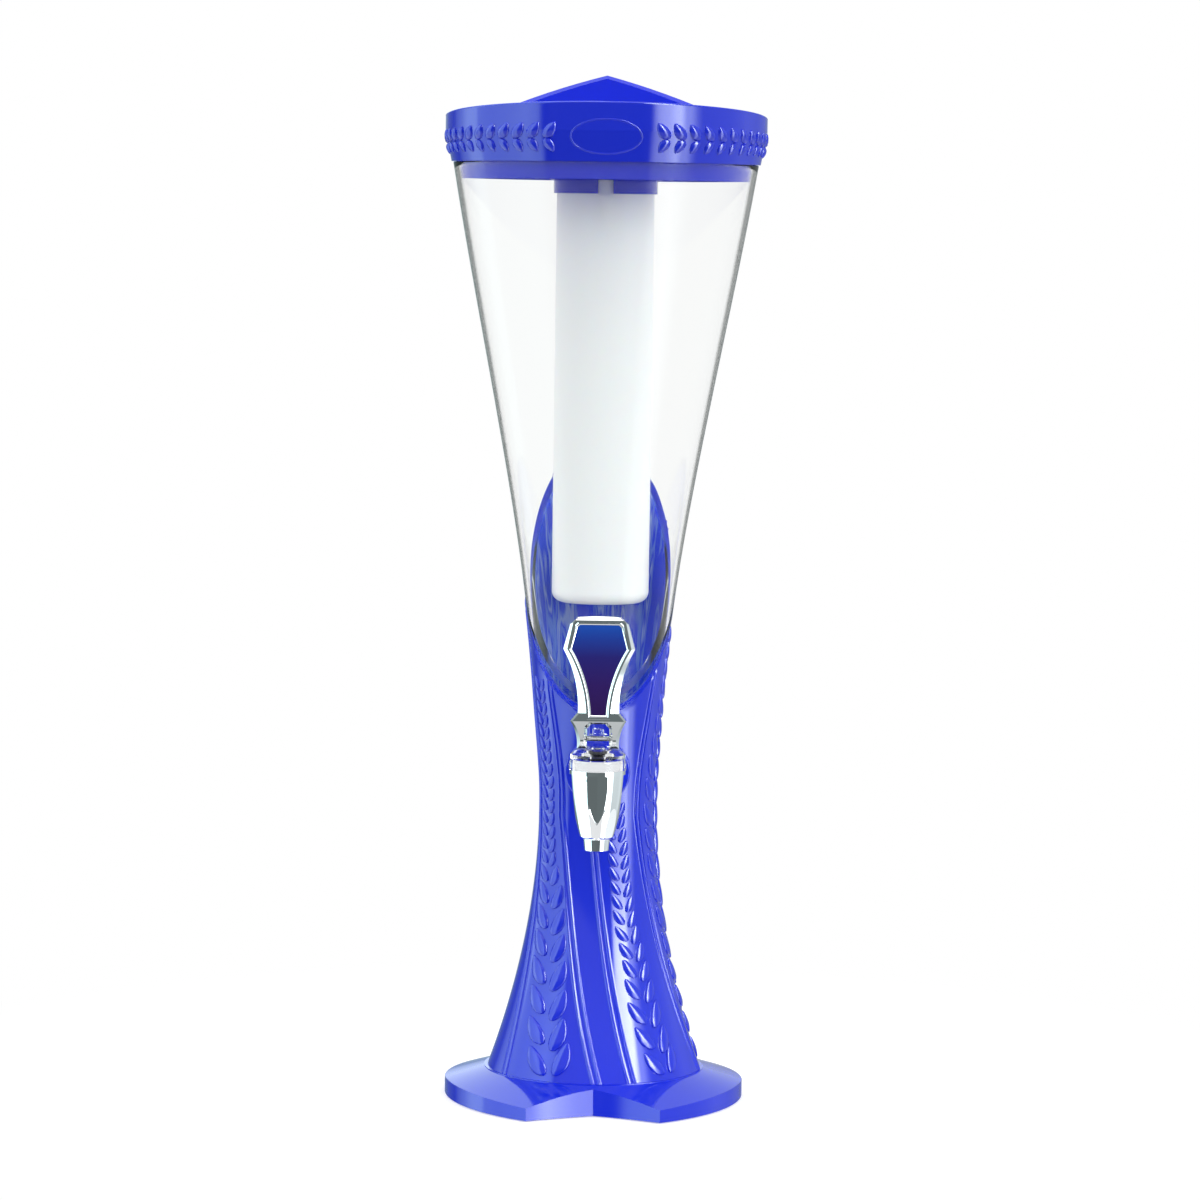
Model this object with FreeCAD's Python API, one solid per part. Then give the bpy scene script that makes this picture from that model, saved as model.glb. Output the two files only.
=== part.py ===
import FreeCAD, Part
import math
import os

from FreeCAD import Vector

# Beer tower dispenser, in millimetres.
# +Z is up and the tap faces -Y. The origin is the middle of the surface that the tower stands on.

# ---- Skin: the outer line that the column and the tank share -------------------------------------
SEAM_Z = 18.9               # column's lower edge, on the foot
WAIST_Z = 178.0             # narrowest level
RIM_Z = 578.3               # tank's mouth
SEAM_RADIUS = 66.5
WAIST_RADIUS = 36.3
RIM_RADIUS = 93.8
FLARE_POWER = 1.88          # how late the column swells towards the foot
FLARE_LEVELS = (1.0, 0.75, 0.48, 0.22)
BOWL_SHAPE = ((0.15, 0.046), (0.33, 0.172), (0.55, 0.418), (0.78, 0.722))

# ---- Oblique joint between column and tank: z = CUT_Z + CUT_SLOPE * y ----------------------------
CUT_Z = 304.6
CUT_SLOPE = 1.618
LEDGE_GAP = 0.1             # tank's ledge above the column's rim

# ---- Column --------------------------------------------------------------------------------------
COLUMN_WALL = 3.0
RIB_ROOT_DEPTH = 1.2        # how deep a rib's root lies in the wall
RIB_HALF = (                # half of a rib's section at the foot: distance from its middle, height
    (2.9, -RIB_ROOT_DEPTH), (2.75, 0.0), (2.35, 0.9), (1.9, 0.9), (1.35, 0.25),
)
RIB_WAIST_SHARE = 0.7       # width at the waist by width at the foot
RIB_SECTIONS = 13
RIB_BASE_ANGLES = (1.5, 20.0, 78.5, 135.0, 191.5, 248.0, 304.5)
RIB_WAIST_ANGLES = (-36.5, -5.5, 42.5, 104.0, 165.5, 227.0, 288.5)
RIB_FAN = 22.0              # degrees by which ribs spread round the oblique opening
FAN_START_Z = 185.0
FAN_END_Z = 285.0
BOSS_RADIUS = 20.0
BOSS_PROUD = 3.5
BOSS_CHAMFER = 0.8
BOSS_ROOT = 11.0            # how deep the boss starts behind the skin
POST_COUNT = 4
POST_CIRCLE_RADIUS = 50.0
POST_RADIUS = 4.5
POST_HEIGHT = 26.0
POST_WEB = 3.0
POST_WEB_LIFT = 1.0         # web above the foot's spigot

# ---- Tank ----------------------------------------------------------------------------------------
TANK_WALL = 3.0
NEST_GAP = 0.3              # between the tank's lower part and the column's inside
TANK_UNDERSIDE_Z = 186.0
PAD_RADIUS = 14.5           # flat seat for the inner washer
PAD_MARGIN = 0.4            # seat's face proud of the wall at its edge

# ---- Foot ----------------------------------------------------------------------------------------
FOOT_RADIUS = 92.7
FOOT_SHOULDER_ANGLE = 48.0  # from straight ahead
FOOT_SHOULDER_RADIUS = 94.3
FOOT_CORNER_ANGLE = 23.7
FOOT_CORNER_RADIUS = 100.8
NOTCH_DEPTH_Y = 73.3        # distance of the notch's vertex from the axis
NOTCH_BOW = 1.2             # how far each wall of the notch curves inwards
CORNER_INSET_RATE = 1.6     # how much faster corners and vertex move than the walls when drawn in
NOTCH_INSET_RATE = 1.1
FOOT_WALL = 3.0
FOOT_LIFT = 0.6             # rim above the table, under it the pads
FOOT_SLOPE = 0.31
SEAT_MARGIN = 1.7           # foot's seat beyond the column's edge
SEAT_STEP = 0.5
SPIGOT_HEIGHT = 8.0
SPIGOT_GAP = 0.3
SPIGOT_WALL = 2.5
COVER_THICKNESS = 2.0
COVER_GAP = 0.3
COVER_RECESS = 0.4
COVER_POST_RADIUS = 4.0
COVER_POST_CIRCLE_RADIUS = 74.0
COVER_POST_ANGLES = (45.0, 135.0, 225.0, 315.0)
PAD_COUNT = 6
FOOT_PAD_RADIUS = 7.0
FOOT_PAD_CIRCLE_RADIUS = 82.0
FOOT_PAD_INSET = 0.8        # depth of the pad's pocket in the cover

# ---- Screws --------------------------------------------------------------------------------------
SCREW_RADIUS = 1.75
SCREW_CLEARANCE = 0.25
SCREW_HEAD_RADIUS = 3.6
SCREW_HEAD_HEIGHT = 2.4
SCREW_BITE = 12.0
COVER_SCREW_BITE = 6.0
SCREW_TIP_ROOM = 2.0        # hole beyond the screw's tip
SCREW_PLAY = 0.05

# ---- Lid -----------------------------------------------------------------------------------------
LID_GAP = 0.3               # lid's lower edge above the tank's mouth
LID_OVERHANG = 1.1
LID_FLARE = 3.8             # how far the band widens above its lower edge
LID_FLARE_HEIGHT = 18.4
LID_RIM_Z = 606.1           # rim's level on the axis
LID_RIM_SLOPE = 0.0728      # the rim rises towards the front
LID_WALL = 2.6
DECK_DROP = 5.0
DECK_THICKNESS = 3.0
PLUG_GAP = 0.5
PLUG_WALL = 2.4
PLUG_DEPTH = 10.3
FIN_END_ROOM = 16.1         # between the fin's end and the band
FIN_RISE = 26.0             # apex above the rim's level on the axis
FIN_SHOULDER_SHARE = 0.57   # height share of the fin halfway out
FIN_THICKNESS = 6.0
FIN_EDGE = 2.0

# ---- Ice tube and its bayonet socket -------------------------------------------------------------
TUBE_RADIUS = 30.0
TUBE_WALL = 2.2
TUBE_BOTTOM_Z = 308.6
TUBE_CORNER = 7.0
SOCKET_GAP = 0.4
SOCKET_LIP_WALL = 1.6
SOCKET_WALL = 4.1
SOCKET_DROP = 8.3           # lip below the plug's skirt
CEILING_MARGIN = 0.5        # socket's flat ceiling below the deck's underside
GASKET_THICKNESS = 2.0
GASKET_GAP = 0.1
LUG_COUNT = 3
LUG_WIDTH_ANGLE = 14.0
LUG_REACH = 1.8
LUG_HEIGHT = 3.4
LUG_PLAY = 0.3
LUG_RISE = 5.0              # lug's underside above the plug's skirt
GROOVE_DEPTH = 2.0
NOTCH_SIDE_ANGLE = 1.5
TWIST_ANGLE = 38.0
TAB_WIDTH = 7.6
TAB_LENGTH = 14.0
TAB_PROUD = 1.2
TAB_ROOT = 1.5
TAB_LOWER = 1.0             # below the socket's lip

# ---- Tap body ------------------------------------------------------------------------------------
SHANK_Z = 207.5
TAP_REACH = 74.0            # spout's axis in front of the tower's axis
SHANK_RADIUS = 8.0
SHANK_HOLE_GAP = 0.3
SHANK_BORE_RADIUS = 4.0
SHANK_TAIL = 2.0            # shank beyond the nut
FLANGE_RADIUS = 15.0
FLANGE_THICKNESS = 3.0
ARM_RADIUS = 9.5
ARM_CLEAR = 0.4             # between the arm and the bonnet in front of it
WASHER_THICKNESS = 2.0
WASHER_RADIUS = 14.0
WASHER_BORE_GAP = 0.15
NUT_ACROSS_FLATS = 24.0
NUT_THICKNESS = 7.0
BARREL_RADIUS = 17.0
COLLAR_HEIGHT = 2.5         # round collar above the facets
BARREL_TOP = 5.5            # above the shank's axis
CHIN_DROP = 35.0            # where the bullet ends, below the shank's axis
CHIN_RADIUS = 10.25
CHIN_LIP = 1.6              # short taper from the bullet's end to the nozzle
NOZZLE_DROP = 43.5
NOZZLE_RADIUS = 8.2
NOZZLE_TIP_RADIUS = 7.4
OUTLET_RADIUS = 5.0
BULLET_BELLY = 14.9         # bullet's radius half-way down
FACET_COUNT = 4             # of the upper facets; as many lower ones stand between them
FACET_TOP = 15.2            # facets' distance from the axis at the top
FACET_SLOPE = 0.08
FACET_FOLD = 6.0            # degrees by which each half of an upper facet turns inwards
LOWER_FACET_START = 0.52    # share of the bullet's height where the lower facets begin
LOWER_FACET_SLOPE = 0.27
SPOUT_NECK_RADIUS = 13.6
SPOUT_NECK_HEIGHT = 6.0
CHAMBER_RADIUS = 9.0
SEAT_DROP = 13.0

# ---- Bonnet, stem and spring ---------------------------------------------------------------------
BONNET_RADIUS = 17.4
BONNET_GAP = 0.2
BONNET_HEIGHT = 12.5
BONNET_TOP_RADIUS = 13.0
BONNET_CHAMFER_HEIGHT = 3.2
BONNET_STEP = 0.7
BONNET_PLUG_DEPTH = 2.6
SLIDE_FIT = 0.05
STEM_RADIUS = 4.0
STEM_FLANGE_RADIUS = 7.2
STEM_FLANGE_THICKNESS = 2.4
SEAL_RADIUS = 6.8
SEAL_THICKNESS = 3.0
SEAT_GAP = 0.1
SEAL_PIN_RADIUS = 1.6
SEAL_PIN_DEPTH = 2.0
SEAL_PIN_PLAY = 0.1
STEM_RING_SIZE = 2.0
RING_GROOVE_PLAY = 0.1
HEAD_WIDTH = 10.7
HEAD_DEPTH = 9.0
HEAD_CLEAR = 1.0            # head's underside above the bonnet
HEAD_HEIGHT = 7.6
HEAD_KNOB_RADIUS = 3.35
HEAD_KNOB_HEIGHT = 3.3
SPRING_WIRE = 1.0
SPRING_MEAN_RADIUS = 6.1
SPRING_TURNS = 4.0
SPRING_END_GAP = 0.1

# ---- Handle --------------------------------------------------------------------------------------
PIN_RISE = 6.2              # pivot pin above the bonnet's top
PIN_RADIUS = 1.5
PIN_INSET = 0.6             # pin's end inside the prong's side
PIN_FIT = 0.05
CAM_GAP = 0.3
CAM_OFFSET = 2.8            # eccentricity: lift is this times the tilt in radians
PRONG_INNER = 6.7
PRONG_HALF_WIDTH = 12.8
CROWN_HALF_WIDTH = 16.9
NECK_HALF_WIDTH = 12.7
WIDE_HALF_WIDTH = 21.6
CORNER_HALF_WIDTH = 17.6
TOP_HALF_WIDTH = 13.4
WINDOW_TOP = 9.1            # this and the next six are heights above the pin
CROWN_TIP = 11.0
CROWN_TOP = 14.5
CROWN_LAP = 1.5             # how far the crown runs up into the paddle
WIDE_HEIGHT = 54.5
CORNER_HEIGHT = 69.5
TOP_HEIGHT = 73.4
TOP_CROWN = 74.1
WAIST_SAG = 3.2             # inward curve of the handle's sides
PRONG_SAG = 1.2             # inward curve of the prongs' sides
PRONG_SAG_RISE = 1.5
WINDOW_CORNER = 2.6
HEEL_DEPTH = 6.0            # prong behind the pin
HANDLE_FRONT = 7.2          # front face in front of the pin
HANDLE_BACK = 4.2
BEVEL_DEPTH = 2.6
PRONG_BEVEL = 2.0           # how far crown, prongs and window are drawn in at the front
BACK_ROUND = 2.4
TOP_TAPER = 0.0069          # share of its depth that the handle loses per millimetre of height
PANEL_RIM = 4.9             # frame round the panel, measured in from the handle's side
LIP_WIDTH = 1.3             # raised lip along the panel
LIP_BEVEL = 0.45
LIP_DROP = 0.1              # lip's crest below the frame's
RIM_GROOVE_WIDTH = 1.1      # between lip and frame
RIM_GROOVE_DEPTH = 0.9
RIM_LAND = 0.3              # flat between groove and bevel
PANEL_BOTTOM = 14.6
PANEL_NECK_IN = 3.2         # panel's foot narrower than its frame by this much more
PANEL_TOP_OUT = 0.6         # panel's top corners nearer the handle's side
PANEL_TOP_CUT = 1.6
PANEL_SAG_EASE = 0.4
PANEL_THICKNESS = 1.4
PANEL_SUNK = 0.5
PANEL_GAP = 0.15

# ---- Worked-out places ---------------------------------------------------------------------------
TANK_FLOOR_Z = TANK_UNDERSIDE_Z + TANK_WALL
NEST_BORE = WAIST_RADIUS - COLUMN_WALL - NEST_GAP - TANK_WALL
PAD_Y = PAD_MARGIN - math.sqrt(NEST_BORE ** 2 - PAD_RADIUS ** 2)
LID_BOTTOM_Z = RIM_Z + LID_GAP
LID_RADIUS = RIM_RADIUS + LID_OVERHANG + LID_FLARE
FIN_HALF_LENGTH = LID_RADIUS - LID_WALL - FIN_END_ROOM
PLUG_BOTTOM_Z = LID_BOTTOM_Z - PLUG_DEPTH
PLUG_RADIUS = RIM_RADIUS - TANK_WALL - PLUG_GAP
SOCKET_BORE = TUBE_RADIUS + SOCKET_GAP
SOCKET_OUTER = SOCKET_BORE + SOCKET_WALL
SOCKET_BOTTOM_Z = PLUG_BOTTOM_Z - SOCKET_DROP
DECK_LOWEST_Z = LID_RIM_Z - DECK_DROP - DECK_THICKNESS - LID_RIM_SLOPE * SOCKET_OUTER
SOCKET_CEILING_Z = DECK_LOWEST_Z - CEILING_MARGIN
TUBE_TOP_Z = SOCKET_CEILING_Z - GASKET_THICKNESS - GASKET_GAP
LUG_Z = PLUG_BOTTOM_Z + LUG_RISE
BARREL_TOP_Z = SHANK_Z + BARREL_TOP
BONNET_BOTTOM_Z = BARREL_TOP_Z + BONNET_GAP
BONNET_TOP_Z = BONNET_BOTTOM_Z + BONNET_HEIGHT
BONNET_CEILING_Z = BARREL_TOP_Z + SPOUT_NECK_HEIGHT + BONNET_GAP
BONNET_PLUG_Z = BONNET_CEILING_Z - BONNET_PLUG_DEPTH
SEAT_Z = SHANK_Z - SEAT_DROP
SEAL_Z = SEAT_Z + SEAT_GAP
STEM_FLANGE_Z = SEAL_Z + SEAL_THICKNESS
PIN_Z = BONNET_TOP_Z + PIN_RISE
CAM_RADIUS = PIN_RISE - CAM_GAP
FOOT_TOP_Z = SEAM_Z - SEAT_STEP
SEAT_RADIUS = SEAM_RADIUS + SEAT_MARGIN
PLATE_UNDERSIDE_Z = SEAM_Z - FOOT_WALL
COVER_Z = FOOT_LIFT + COVER_RECESS
AXIS_Z = Vector(0, 0, 1)
AXIS_Y = Vector(0, 1, 0)
HUGE = 2000.0
OVERLAP = 1.0               # how far joined or cut shapes run into each other


# ---- Helpers -------------------------------------------------------------------------------------
def polar(radius, degrees, z):
    """A point at an angle from straight ahead (-Y), positive towards +X."""
    turn = math.radians(degrees)
    return Vector(radius * math.sin(turn), -radius * math.cos(turn), z)


def chain(start, steps):
    """A closed wire from a start point and steps: (point,) is a line, (middle, point) an arc."""
    edges = []
    here = start
    for step in steps:
        if len(step) == 1:
            edges.append(Part.makeLine(here, step[0]))
        else:
            edges.append(Part.Arc(here, step[0], step[1]).toShape())
        here = step[-1]
    if here.distanceToPoint(start) > 1e-6:
        edges.append(Part.makeLine(here, start))
    return Part.Wire(edges)


def revolved(points, degrees=360.0):
    """A solid turned about +Z from (radius, z) corners."""
    corners = [Vector(r, 0, z) for r, z in points]
    face = Part.Face(Part.makePolygon(corners + corners[:1]))
    return face.revolve(Vector(0, 0, 0), AXIS_Z, degrees)


def ring(outer, inner, low, high):
    return revolved([(inner, low), (outer, low), (outer, high), (inner, high)])


def disc(radius, low, high, centre=Vector(0, 0, 0)):
    return Part.makeCylinder(radius, high - low, Vector(centre.x, centre.y, low), AXIS_Z)


def rod_y(radius, y_from, y_to, x=0.0, z=0.0):
    """A cylinder along Y."""
    return Part.makeCylinder(radius, y_to - y_from, Vector(x, y_from, z), AXIS_Y)


def rod_x(radius, half_length, z):
    """A cylinder along X, centred."""
    return Part.makeCylinder(radius, 2 * half_length, Vector(-half_length, 0, z), Vector(1, 0, 0))


def box(x0, x1, y0, y1, z0, z1):
    return Part.makeBox(x1 - x0, y1 - y0, z1 - z0, Vector(x0, y0, z0))


def below_plane(level, slope):
    """Everything under the plane z = level + slope * y."""
    y0, y1 = -HUGE / 2, HUGE / 2
    corners = [
        Vector(-HUGE / 2, y0, level + slope * y0),
        Vector(-HUGE / 2, y1, level + slope * y1),
        Vector(-HUGE / 2, y1, -HUGE),
        Vector(-HUGE / 2, y0, -HUGE),
    ]
    side = Part.Face(Part.makePolygon(corners + corners[:1]))
    return side.extrude(Vector(HUGE, 0, 0))


def one_solid(shape):
    return shape.Solids[0]


# ---- Skin ----------------------------------------------------------------------------------------
def skin_points():
    """Corners of the skin's curve, from the seam up to the tank's mouth."""
    points = []
    for share in FLARE_LEVELS:
        z = WAIST_Z - share * (WAIST_Z - SEAM_Z)
        points.append((WAIST_RADIUS + (SEAM_RADIUS - WAIST_RADIUS) * share ** FLARE_POWER, z))
    points.append((WAIST_RADIUS, WAIST_Z))
    for height, growth in BOWL_SHAPE:
        z = WAIST_Z + height * (RIM_Z - WAIST_Z)
        points.append((WAIST_RADIUS + growth * (RIM_RADIUS - WAIST_RADIUS), z))
    points.append((RIM_RADIUS, RIM_Z))
    return points


def skin_curve():
    curve = Part.BSplineCurve()
    curve.interpolate([Vector(r, 0, z) for r, z in skin_points()])
    return curve


SKIN = skin_curve()


def skin_parameter(z):
    """The skin curve's parameter at a level, by halving."""
    low, high = SKIN.FirstParameter, SKIN.LastParameter
    for _ in range(50):
        middle = (low + high) / 2
        if SKIN.value(middle).z < z:
            low = middle
        else:
            high = middle
    return low


def skin_radius(z):
    return SKIN.value(skin_parameter(z)).x


PLUG_TIP_RADIUS = skin_radius(PLUG_BOTTOM_Z) - TANK_WALL - PLUG_GAP


def skin_solid(low, high, inset=0.0):
    """The skin between two levels as a closed solid, with its radius reduced by inset."""
    part = SKIN.copy()
    part.segment(skin_parameter(low), skin_parameter(high))
    part.translate(Vector(-inset, 0, 0))
    bottom, top = part.StartPoint, part.EndPoint
    edges = [
        Part.makeLine(Vector(0, 0, bottom.z), bottom),
        part.toShape(),
        Part.makeLine(top, Vector(0, 0, top.z)),
        Part.makeLine(Vector(0, 0, top.z), Vector(0, 0, bottom.z)),
    ]
    return Part.Face(Part.Wire(edges)).revolve(Vector(0, 0, 0), AXIS_Z, 360)


# ---- Column --------------------------------------------------------------------------------------
def smooth_step(value, start, end):
    share = min(max((value - start) / (end - start), 0.0), 1.0)
    return share * share * (3 - 2 * share)


def rib_angle(index, z):
    """Where a rib stands at a level: it leans from foot to waist, then spreads round the opening."""
    base = RIB_BASE_ANGLES[index]
    waist = RIB_WAIST_ANGLES[index]
    share = min((z - SEAM_Z) / (WAIST_Z - SEAM_Z), 1.0)
    angle = base + (waist - base) * share
    return angle + RIB_FAN * math.sin(math.radians(angle)) * smooth_step(z, FAN_START_Z, FAN_END_Z)


def column_top_z():
    """The highest point of the oblique rim, at the back."""
    level = CUT_Z
    for _ in range(30):
        level = CUT_Z + CUT_SLOPE * skin_radius(level)
    return level


def rib_section(index, z):
    """One cross-section of a rib: two ridges with a band between them, rooted in the wall."""
    radius = skin_radius(z)
    angle = rib_angle(index, z)
    narrowing = (1 - RIB_WAIST_SHARE) * smooth_step(z, SEAM_Z, WAIST_Z)
    half = [(offset * (1 - narrowing), height) for offset, height in RIB_HALF]
    outline = [(-offset, height) for offset, height in half] + half[::-1]
    corners = [
        polar(radius + height, angle + math.degrees(offset / radius), z) for offset, height in outline
    ]
    return Part.makePolygon(corners + corners[:1])


def rib(index):
    top = column_top_z()
    levels = [SEAM_Z + (top - SEAM_Z) * k / (RIB_SECTIONS - 1) for k in range(RIB_SECTIONS)]
    return Part.makeLoft([rib_section(index, z) for z in levels], True, False)


def boss_face_y():
    return -(skin_radius(SHANK_Z) + BOSS_PROUD)


def tap_boss():
    """The round pad that carries the tap's washer."""
    face = -boss_face_y()
    depth = skin_radius(SHANK_Z) - BOSS_ROOT
    profile = [
        (0, depth), (BOSS_RADIUS, depth), (BOSS_RADIUS, face - BOSS_CHAMFER),
        (BOSS_RADIUS - BOSS_CHAMFER, face), (0, face),
    ]
    solid = revolved(profile)
    solid.rotate(Vector(0, 0, 0), Vector(1, 0, 0), 90)
    solid.translate(Vector(0, 0, SHANK_Z))
    return solid


def post_places():
    step = 360.0 / POST_COUNT
    return [polar(POST_CIRCLE_RADIUS, step * (k + 0.5), 0) for k in range(POST_COUNT)]


def column_post(place):
    """A screw post inside the column, with its web to the wall."""
    post = disc(POST_RADIUS, SEAM_Z, SEAM_Z + POST_HEIGHT, place)
    web_z = SEAM_Z + SPIGOT_HEIGHT + POST_WEB_LIFT
    web = box(0, SEAM_RADIUS, -POST_WEB / 2, POST_WEB / 2, web_z, SEAM_Z + POST_HEIGHT)
    web = web.cut(disc(POST_CIRCLE_RADIUS, SEAM_Z, SEAM_Z + 2 * POST_HEIGHT))
    web.rotate(Vector(0, 0, 0), AXIS_Z, math.degrees(math.atan2(place.y, place.x)))
    return post.fuse(web)


def make_column():
    top = column_top_z()
    skin = skin_solid(SEAM_Z, top)
    outer = skin.fuse([rib(k) for k in range(len(RIB_BASE_ANGLES))])
    outer = outer.fuse(tap_boss())
    hollow = skin_solid(SEAM_Z, top, COLUMN_WALL)
    shell = outer.cut(hollow)
    posts = [column_post(place).common(skin) for place in post_places()]
    shell = shell.fuse(posts)
    shell = shell.common(below_plane(CUT_Z, CUT_SLOPE))
    for place in post_places():
        shell = shell.cut(disc(SCREW_RADIUS, SEAM_Z - OVERLAP, SEAM_Z + SCREW_BITE + SCREW_TIP_ROOM, place))
    hole = SHANK_RADIUS + SHANK_HOLE_GAP
    return one_solid(shell.cut(rod_y(hole, -HUGE / 4, 0, z=SHANK_Z)))


# ---- Tank ----------------------------------------------------------------------------------------
def make_tank():
    """A clear flared vessel: its lower part nests in the column, the rest continues the skin."""
    lean = math.sqrt(1 + CUT_SLOPE ** 2)
    above = CUT_Z + LEDGE_GAP * lean
    nest_inset = COLUMN_WALL + NEST_GAP
    wide = skin_solid(TANK_UNDERSIDE_Z, RIM_Z).cut(below_plane(above, CUT_SLOPE))
    nested = skin_solid(TANK_UNDERSIDE_Z, RIM_Z, nest_inset)
    wide_hollow = skin_solid(TANK_UNDERSIDE_Z, RIM_Z, TANK_WALL)
    wide_hollow = wide_hollow.cut(below_plane(above + TANK_WALL * lean, CUT_SLOPE))
    nested_hollow = skin_solid(TANK_FLOOR_Z, RIM_Z, nest_inset + TANK_WALL)
    shell = nested.fuse(wide).cut(wide_hollow.fuse(nested_hollow))
    pad = rod_y(PAD_RADIUS, -skin_radius(SHANK_Z), PAD_Y, z=SHANK_Z).common(nested)
    shell = shell.fuse(pad)
    hole = SHANK_RADIUS + SHANK_HOLE_GAP
    return one_solid(shell.cut(rod_y(hole, -HUGE / 4, 0, z=SHANK_Z)))


# ---- Foot ----------------------------------------------------------------------------------------
def foot_outline(inset, z):
    """The foot seen from above: round behind, with two corners and a notch in front."""
    radius = FOOT_RADIUS - inset
    shoulder = FOOT_SHOULDER_RADIUS - inset
    corner = polar(FOOT_CORNER_RADIUS - CORNER_INSET_RATE * inset, FOOT_CORNER_ANGLE, z)
    shoulder_point = polar(shoulder, FOOT_SHOULDER_ANGLE, z)
    vertex = Vector(0, -(NOTCH_DEPTH_Y - NOTCH_INSET_RATE * inset), z)
    bow = Vector((corner.x + vertex.x) / 2, (corner.y + vertex.y) / 2 + NOTCH_BOW, z)
    side = Vector(radius, 0, z)

    def mirrored(point):
        return Vector(-point.x, point.y, point.z)

    return chain(
        side,
        [
            (Vector(0, radius, z), mirrored(side)),
            (mirrored(shoulder_point), mirrored(corner)),
            (mirrored(bow), vertex),
            (bow, corner),
            (shoulder_point, side),
        ],
    )


def foot_prism(inset, low, high):
    return Part.Face(foot_outline(inset, low)).extrude(Vector(0, 0, high - low))


def foot_roof(drop):
    """The space under the foot's sloping top, lowered by drop."""
    level = FOOT_TOP_Z - drop
    edge = SEAT_RADIUS + FOOT_CORNER_RADIUS
    fall = FOOT_SLOPE * (edge - SEAT_RADIUS)
    return revolved([(0, -edge), (edge, -edge), (edge, level - fall), (SEAT_RADIUS, level), (0, level)])


def cover_post_places():
    return [polar(COVER_POST_CIRCLE_RADIUS, angle, 0) for angle in COVER_POST_ANGLES]


def make_foot():
    body = foot_prism(0, FOOT_LIFT, SEAM_Z).common(foot_roof(0))
    body = body.fuse(disc(SEAT_RADIUS, PLATE_UNDERSIDE_Z, SEAM_Z))
    hollow = foot_prism(FOOT_WALL, 0, SEAM_Z).common(foot_roof(FOOT_WALL - SEAT_STEP))
    body = body.cut(hollow.common(disc(HUGE / 8, -OVERLAP, PLATE_UNDERSIDE_Z)))
    spigot_inset = COLUMN_WALL + SPIGOT_GAP
    spigot = skin_solid(SEAM_Z, SEAM_Z + SPIGOT_HEIGHT, spigot_inset)
    spigot = spigot.cut(skin_solid(SEAM_Z, SEAM_Z + SPIGOT_HEIGHT, spigot_inset + SPIGOT_WALL))
    body = body.fuse(spigot)
    cover_top = COVER_Z + COVER_THICKNESS
    posts = [disc(COVER_POST_RADIUS, cover_top, PLATE_UNDERSIDE_Z, p) for p in cover_post_places()]
    body = body.fuse([post.common(foot_roof(0)) for post in posts])
    holes = [disc(SCREW_RADIUS + SCREW_CLEARANCE, 0, HUGE / 8, place) for place in post_places()]
    hole_top = cover_top + COVER_SCREW_BITE + SCREW_TIP_ROOM
    holes += [disc(SCREW_RADIUS, 0, hole_top, place) for place in cover_post_places()]
    return one_solid(body.cut(holes))


def pad_places():
    step = 360.0 / PAD_COUNT
    return [polar(FOOT_PAD_CIRCLE_RADIUS, step * (k + 0.5), 0) for k in range(PAD_COUNT)]


def make_foot_cover():
    """The plate that closes the foot from below, with pockets for the pads."""
    plate = foot_prism(FOOT_WALL + COVER_GAP, COVER_Z, COVER_Z + COVER_THICKNESS)
    pockets = [disc(FOOT_PAD_RADIUS, COVER_Z, COVER_Z + FOOT_PAD_INSET, place) for place in pad_places()]
    sinks = []
    for place in cover_post_places():
        sink = Part.makeCone(SCREW_HEAD_RADIUS, SCREW_RADIUS + SCREW_CLEARANCE, COVER_THICKNESS)
        sink.translate(Vector(place.x, place.y, COVER_Z))
        sinks.append(sink)
    return one_solid(plate.cut(pockets + sinks))


def make_foot_pads():
    return [disc(FOOT_PAD_RADIUS - COVER_GAP, 0, COVER_Z + FOOT_PAD_INSET, p) for p in pad_places()]


# ---- Screws --------------------------------------------------------------------------------------
def make_column_screws():
    """Pan-head screws that hold the column from under the foot's plate."""
    screws = []
    for place in post_places():
        head = disc(SCREW_HEAD_RADIUS, PLATE_UNDERSIDE_Z - SCREW_HEAD_HEIGHT, PLATE_UNDERSIDE_Z, place)
        shank = disc(SCREW_RADIUS - SCREW_PLAY, PLATE_UNDERSIDE_Z - OVERLAP, SEAM_Z + SCREW_BITE, place)
        screws.append(one_solid(head.fuse(shank)))
    return screws


def make_cover_screws():
    """Countersunk screws that hold the cover to the foot's posts."""
    screws = []
    for place in cover_post_places():
        head = Part.makeCone(SCREW_HEAD_RADIUS - SCREW_CLEARANCE, SCREW_RADIUS, COVER_THICKNESS)
        head.translate(Vector(place.x, place.y, COVER_Z))
        tip = COVER_Z + COVER_THICKNESS + COVER_SCREW_BITE
        shank = disc(SCREW_RADIUS - SCREW_PLAY, COVER_Z + OVERLAP, tip, place)
        screws.append(one_solid(head.fuse(shank)))
    return screws


# ---- Lid -----------------------------------------------------------------------------------------
def below_rim(drop):
    """Everything lower than the lid's oblique rim less drop."""
    return below_plane(LID_RIM_Z - drop, -LID_RIM_SLOPE)


def lid_band():
    """The lid's outside, closed on top by the recessed deck."""
    low = RIM_RADIUS + LID_OVERHANG
    flare_z = LID_BOTTOM_Z + LID_FLARE_HEIGHT
    high = LID_RIM_Z + LID_RADIUS
    outline = [
        (0, LID_BOTTOM_Z), (low, LID_BOTTOM_Z), (LID_RADIUS, flare_z), (LID_RADIUS, high), (0, high),
    ]
    solid = revolved(outline).common(below_rim(0))
    recess = disc(LID_RADIUS - LID_WALL, LID_BOTTOM_Z, high).cut(below_rim(DECK_DROP))
    return solid.cut(recess)


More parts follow.
